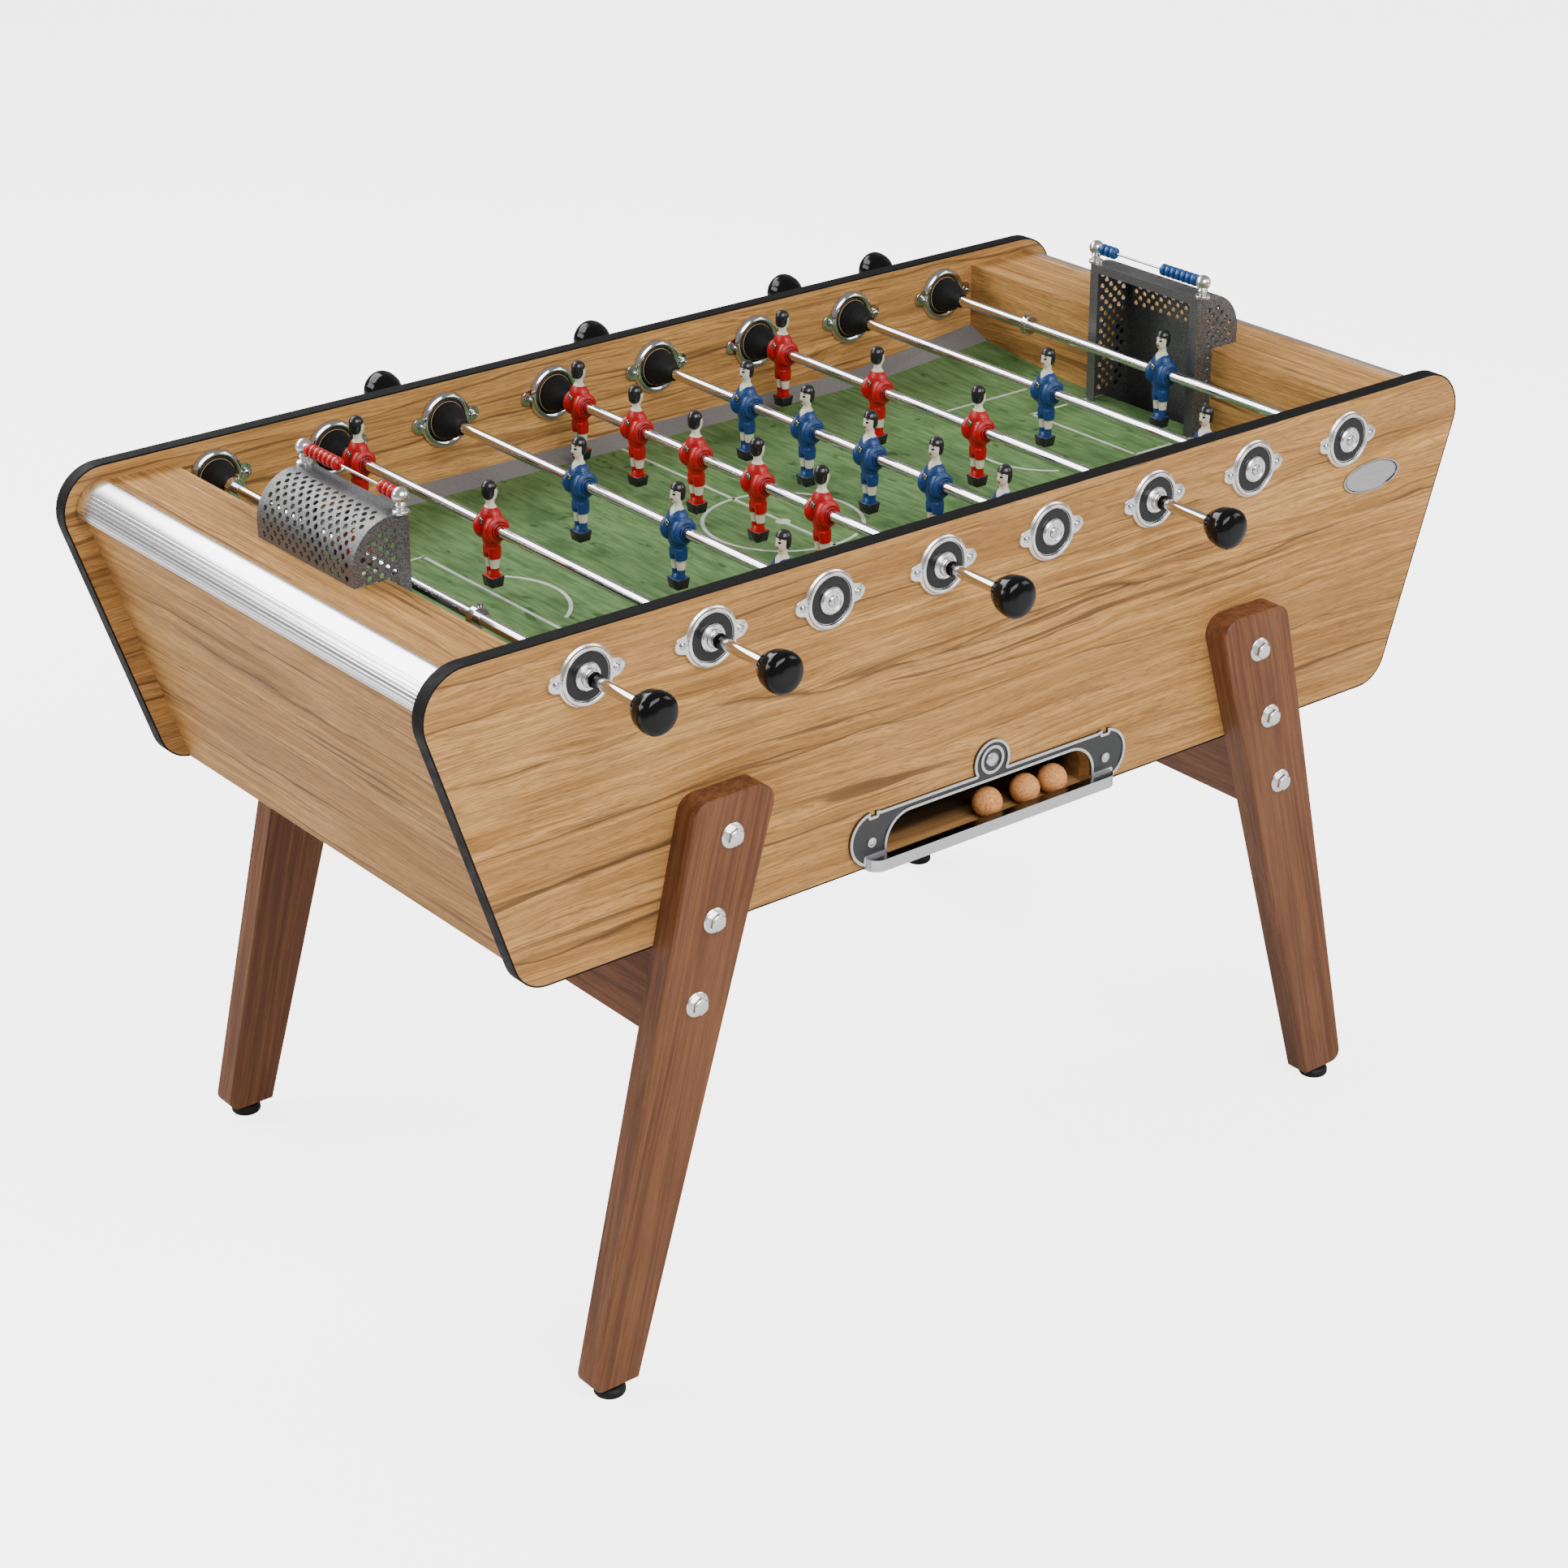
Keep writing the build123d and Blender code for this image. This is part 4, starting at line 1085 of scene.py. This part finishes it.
def keep_cut(bm, first, second):
    """Removes what lies beyond both planes, with clean edges along them."""
    for point, normal in (first, second):
        cut(bm, point, normal)
    doomed = []
    for face in bm.faces:
        middle = face.calc_center_median()
        if all((middle - Vector(p)).dot(n) > 0 for p, n in (first, second)):
            doomed.append(face)
    bmesh.ops.delete(bm, geom=doomed, context="FACES")


def remeshed(piece, voxel, smoothing):
    """The union of a piece's closed forms as one smooth skin, in millimetres."""
    obj = bpy.data.objects.new("union", piece.mesh("union", scale=1.0))
    bpy.context.scene.collection.objects.link(obj)
    union = obj.modifiers.new("union", "REMESH")
    union.mode = "VOXEL"
    union.voxel_size = voxel
    smooth = obj.modifiers.new("smooth", "SMOOTH")
    smooth.iterations = smoothing
    smooth.factor = 0.5
    bpy.context.view_layer.update()
    graph = bpy.context.evaluated_depsgraph_get()
    data = bpy.data.meshes.new_from_object(obj.evaluated_get(graph))
    bpy.data.objects.remove(obj)
    return data


def paint_body(data):
    """Splits the body's faces along the paint lines and gives each its colour."""
    bm = bmesh.new()
    bm.from_mesh(data)
    for z in (COLLAR_Z, SHORTS_Z, SOCK_Z, BOOT_Z):
        cut(bm, (0, 0, z), (0, 0, 1))
    for side in (-1, 1):
        chest = [f for f in bm.faces if (p := f.calc_center_median()).x > 2 and 14 < p.z < 27]
        cut(bm, (0, 0, NECKLINE_Z), Vector((0, -side, 1)).normalized(), chest)
    for face in bm.faces:
        p = face.calc_center_median()
        neck = p.z > COLLAR_Z or (p.x > 2 and p.z > NECKLINE_Z + abs(p.y))
        thigh = SOCK_Z < p.z < SHORTS_Z
        face.material_index = CREAM if neck or thigh else INK if p.z < BOOT_Z else KIT
    return bm


def paint_patch(bm, tree, points, slot):
    """A thin painted mark on the face: an outline in Y and Z laid onto the skin from the front."""
    middle = sum((Vector(p) for p in points), Vector((0, 0))) / len(points)
    ring = []
    for y, z in [tuple(middle)] + list(points):
        hit, normal, _, _ = tree.ray_cast(Vector((30, y, z)), Vector((-1, 0, 0)))
        ring.append(bm.verts.new(hit + normal * 0.09))
    n = len(points)
    for k in range(n):
        face = bm.faces.new([ring[0], ring[1 + k], ring[1 + (k + 1) % n]])
        face.material_index = slot


def oval(y, z, ry, rz, tilt=0.0, count=14):
    points = []
    for k in range(count):
        a = 2 * math.pi * k / count
        u, v = ry * math.cos(a), rz * math.sin(a)
        c, s = math.cos(tilt), math.sin(tilt)
        points.append((y + u * c - v * s, z + u * s + v * c))
    return points


def figure_mesh():
    """The whole figure as a bmesh in millimetres, with its material numbers."""
    body = figure_body()
    bm = paint_body(body)
    tree = BVHTree.FromBMesh(bm)
    for side in (-1, 1):
        paint_patch(bm, tree, oval(side * 3.4, 42.4, 1.60, 1.30), INK)
        paint_patch(bm, tree, oval(side * 3.7, 45.8, 2.8, 0.95, -side * 0.16), INK)
    paint_patch(bm, tree, oval(0, 35.8, 2.1, 1.35), MOUTH)
    hair = figure_hair()
    start = len(bm.faces)
    bm.from_mesh(hair)
    bm.faces.ensure_lookup_table()
    for face in bm.faces[start:]:
        face.material_index = INK
    for data in (body, hair):
        bpy.data.meshes.remove(data)
    extra = Piece()
    extra.bm = bm
    ring = rounded([(9.0, 15.4), (9.2, 17.0, 0.7), (7.2, 17.1, 0.4), (7.1, 15.0)])
    dark = [(10.2, 15.72), (10.2, 16.05), (9.0, 16.05), (9.0, 15.72)]
    foot_block(extra)
    screw = rounded([(3.5, 0), (3.6, 1.8, 0.5), (1.8, 2.3, 0.6), (0, 2.4)])
    seat = rounded([(4.5, 0), (4.5, 1.0, 0.3), (3.5, 1.05), (3.5, 0.0)])
    for side in (-1, 1):
        extra.turned(ring, facing_y(side), KIT, steps=32)
        extra.turned(dark, facing_y(side), INK, steps=32)
        turn = Matrix.Rotation(side * math.pi / 2, 4, "Y")
        hit = tree.ray_cast(Vector((side * 30, SCREW_Y, 9)), Vector((-side, 0, 0)))[0]
        spot = at(hit.x - side * 0.4, SCREW_Y, 9) @ turn
        extra.turned(screw, spot, STUD, steps=20)
        extra.turned(seat, spot, INK, steps=20)
        slot_mark = [(-2.6, -0.4), (2.6, -0.4), (2.6, 0.4), (-2.6, 0.4)]
        tilt = Matrix.Rotation(0.6, 4, "Z")
        extra.prism(slot_mark, 2.1, 2.46, spot @ tilt, INK)
    return bm


def men():
    figure = figure_mesh()
    shape = bpy.data.meshes.new("figure")
    figure.to_mesh(shape)
    figure.free()
    for n in BARS:
        low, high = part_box(f"bar_{n}_men")
        first, last = low.y / MM + 16.0, high.y / MM - 16.0
        red = HANDLE[n] < 0
        piece = Piece(RED if red else BLUE, SKIN, HAIR, CHROME, LIPS)
        for i in range(MEN[n]):
            y = first if MEN[n] == 1 else first + (last - first) * i / (MEN[n] - 1)
            place = at(BAR_X[n], y, BAR_Z)
            if not red:
                place = place @ Matrix.Scale(-1, 4, (1, 0, 0))
            start = len(piece.bm.verts)
            piece.bm.from_mesh(shape)
            piece.bm.verts.ensure_lookup_table()
            bmesh.ops.transform(piece.bm, matrix=place, verts=piece.bm.verts[start:])
        slot = "figure_red" if red else "figure_blue"
        piece.finish(f"bar_{n}_figures", f"bar_{n}", slot, f"bar_{n}_men", sharp=55)


# ---- small pieces


def knobs():
    """Gloss black handles, crowned, with a faint ring where the crown starts."""
    profile = rounded([
        (6.6, 0.0), (10.4, 0.0, 0.8), (15.8, 6.5, 14.0), (21.4, 16.5, 20.0),
        (23.5, 28.5, 14.0), (22.6, 34.2, 3.0),
        (20.0, 38.4, 9.0), (11.0, 41.4, 22.0), (0.0, 42.0),
    ], 8)
    for n in BARS:
        low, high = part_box(f"bar_{n}_knob")
        start = min(abs(low.y), abs(high.y)) / MM
        piece = Piece(BLACK)
        piece.turned(profile, at(BAR_X[n], HANDLE[n] * start, BAR_Z) @ facing_y(HANDLE[n]), steps=64)
        piece.finish(f"bar_{n}_handle", f"bar_{n}", "black_gloss", f"bar_{n}_knob", sharp=60)


def levelling_feet():
    """Rubber pads under the legs."""
    piece = Piece(RUBBER)
    profile = rounded([
        (0, 0), (16.6, 0, 0.8), (18.0, 2.2, 1.0), (18.0, 7.4, 2.0), (15.0, 10.6, 1.8),
        (9.0, 12.0, 1.0), (8.6, 14.0),
    ])
    for node_end in (-1, 1):
        for side in (-1, 1):
            piece.turned([(0, 0)] + profile[1:], at(node_end * 551.0, side * 384.0, 0))
    piece.finish("levelling_feet_black", "table", "foot_black", "levelling_feet")


def leg_bolts():
    """Dished washers under chamfered hexagon heads, on the outer faces of the legs."""
    piece = Piece(BOLT)
    washer = rounded([(13.2, -0.5), (14.6, 0.0, 0.4), (14.6, 1.3, 0.5), (13.0, 2.5, 0.8), (0.0, 2.5)])
    crown = rounded([(8.9, 8.9), (7.9, 9.9, 0.5), (0.0, 10.0)])
    shank = [(0.0, -60.0), (4.0, -60.0), (4.0, -0.4)]
    for index, (x, z) in enumerate(LEG_BOLTS):
        for end in (-1, 1):
            for side in (-1, 1):
                place = at(end * x, side * (PANEL_OUT + LEG_T), z) @ facing_y(side)
                place = place @ Matrix.Rotation(0.35 + 1.1 * index, 4, "Z")
                piece.turned(shank, place, steps=24)
                piece.turned(washer, place, steps=56)
                piece.prism(circle(0, 0, 10.0, 6), 2.3, 8.95, place, bevel=0.4)
                piece.turned(crown, place, steps=48)
    piece.finish("leg_bolts_hexagon", "table", "chrome", "leg_bolts")


def cork_balls():
    """Slightly uneven pressed-cork balls."""
    piece = Piece(CORK)
    draw = random.Random(7)
    low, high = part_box("balls")
    radius = (high.z - low.z) / 2 / MM
    y, z = (low.y + high.y) / 2 / MM, (low.z + high.z) / 2 / MM
    for x in (low.x / MM + radius, 64.0, high.x / MM - radius):
        start = len(piece.bm.verts)
        turn = Matrix.Rotation(draw.uniform(0, 3), 4, (0.3, 0.5, 0.8))
        bmesh.ops.create_icosphere(piece.bm, subdivisions=5, radius=radius, matrix=at(x, y, z) @ turn)
        piece.bm.verts.ensure_lookup_table()
        for v in piece.bm.verts[start:]:
            out = v.co - Vector((x, y, z))
            v.co = Vector((x, y, z)) + out * (1 - draw.uniform(0.0, 0.006))
    piece.finish("cork_balls", "tray_balls", "cork", "balls")


bearing_plates()
inner_flanges()
rod_bushes()
goals()
finials()
bead_group(
    "beads_stacked", "table", "bead_mixed", "beads_home",
    [(-1, 1, 7, 0), (1, -1, 7, 1)], BEAD_RED, BEAD_BLUE,
)
bead_group(
    "beads_red_three", "red_beads", "bead_red", "beads_red_sliding", [(-1, -1, 3, 0)], BEAD_RED,
)
bead_group(
    "beads_blue_three", "blue_beads", "bead_blue", "beads_blue_sliding", [(1, 1, 3, 0)], BEAD_BLUE,
)
end_trims()
field_lines()
men()
knobs()
levelling_feet()
leg_bolts()
cork_balls()


# ---- floor


def floor():
    """A plain pale floor, which a camera sees brighter than it lights the table."""
    g = Graph("pale_floor", Roughness=0.9, Specular_IOR_Level=0.1)
    mottle = g.noise(g.place, all_ways(1.5), 2.0)
    g.set("Base_Color", g.mix(g.spread(mottle), (0.86, 0.86, 0.86), (0.88, 0.88, 0.88)))
    seen = g.add("LightPath").outputs["Is Camera Ray"]
    g.set("Emission_Color", (1, 1, 1))
    g.set("Emission_Strength", g.math("MULTIPLY", seen, FLOOR_GLOW))
    data = bpy.data.meshes.new("floor")
    reach = 180.0
    corners = [(x * reach, y * reach, 0) for x, y in ((-1, -1), (1, -1), (1, 1), (-1, 1))]
    data.from_pydata(corners, [], [(0, 1, 2, 3)])
    data.materials.append(g.material)
    obj = bpy.data.objects.new("floor", data)
    obj.location.z = -0.0005
    bpy.context.scene.collection.objects.link(obj)


floor()

bpy.context.view_layer.update()
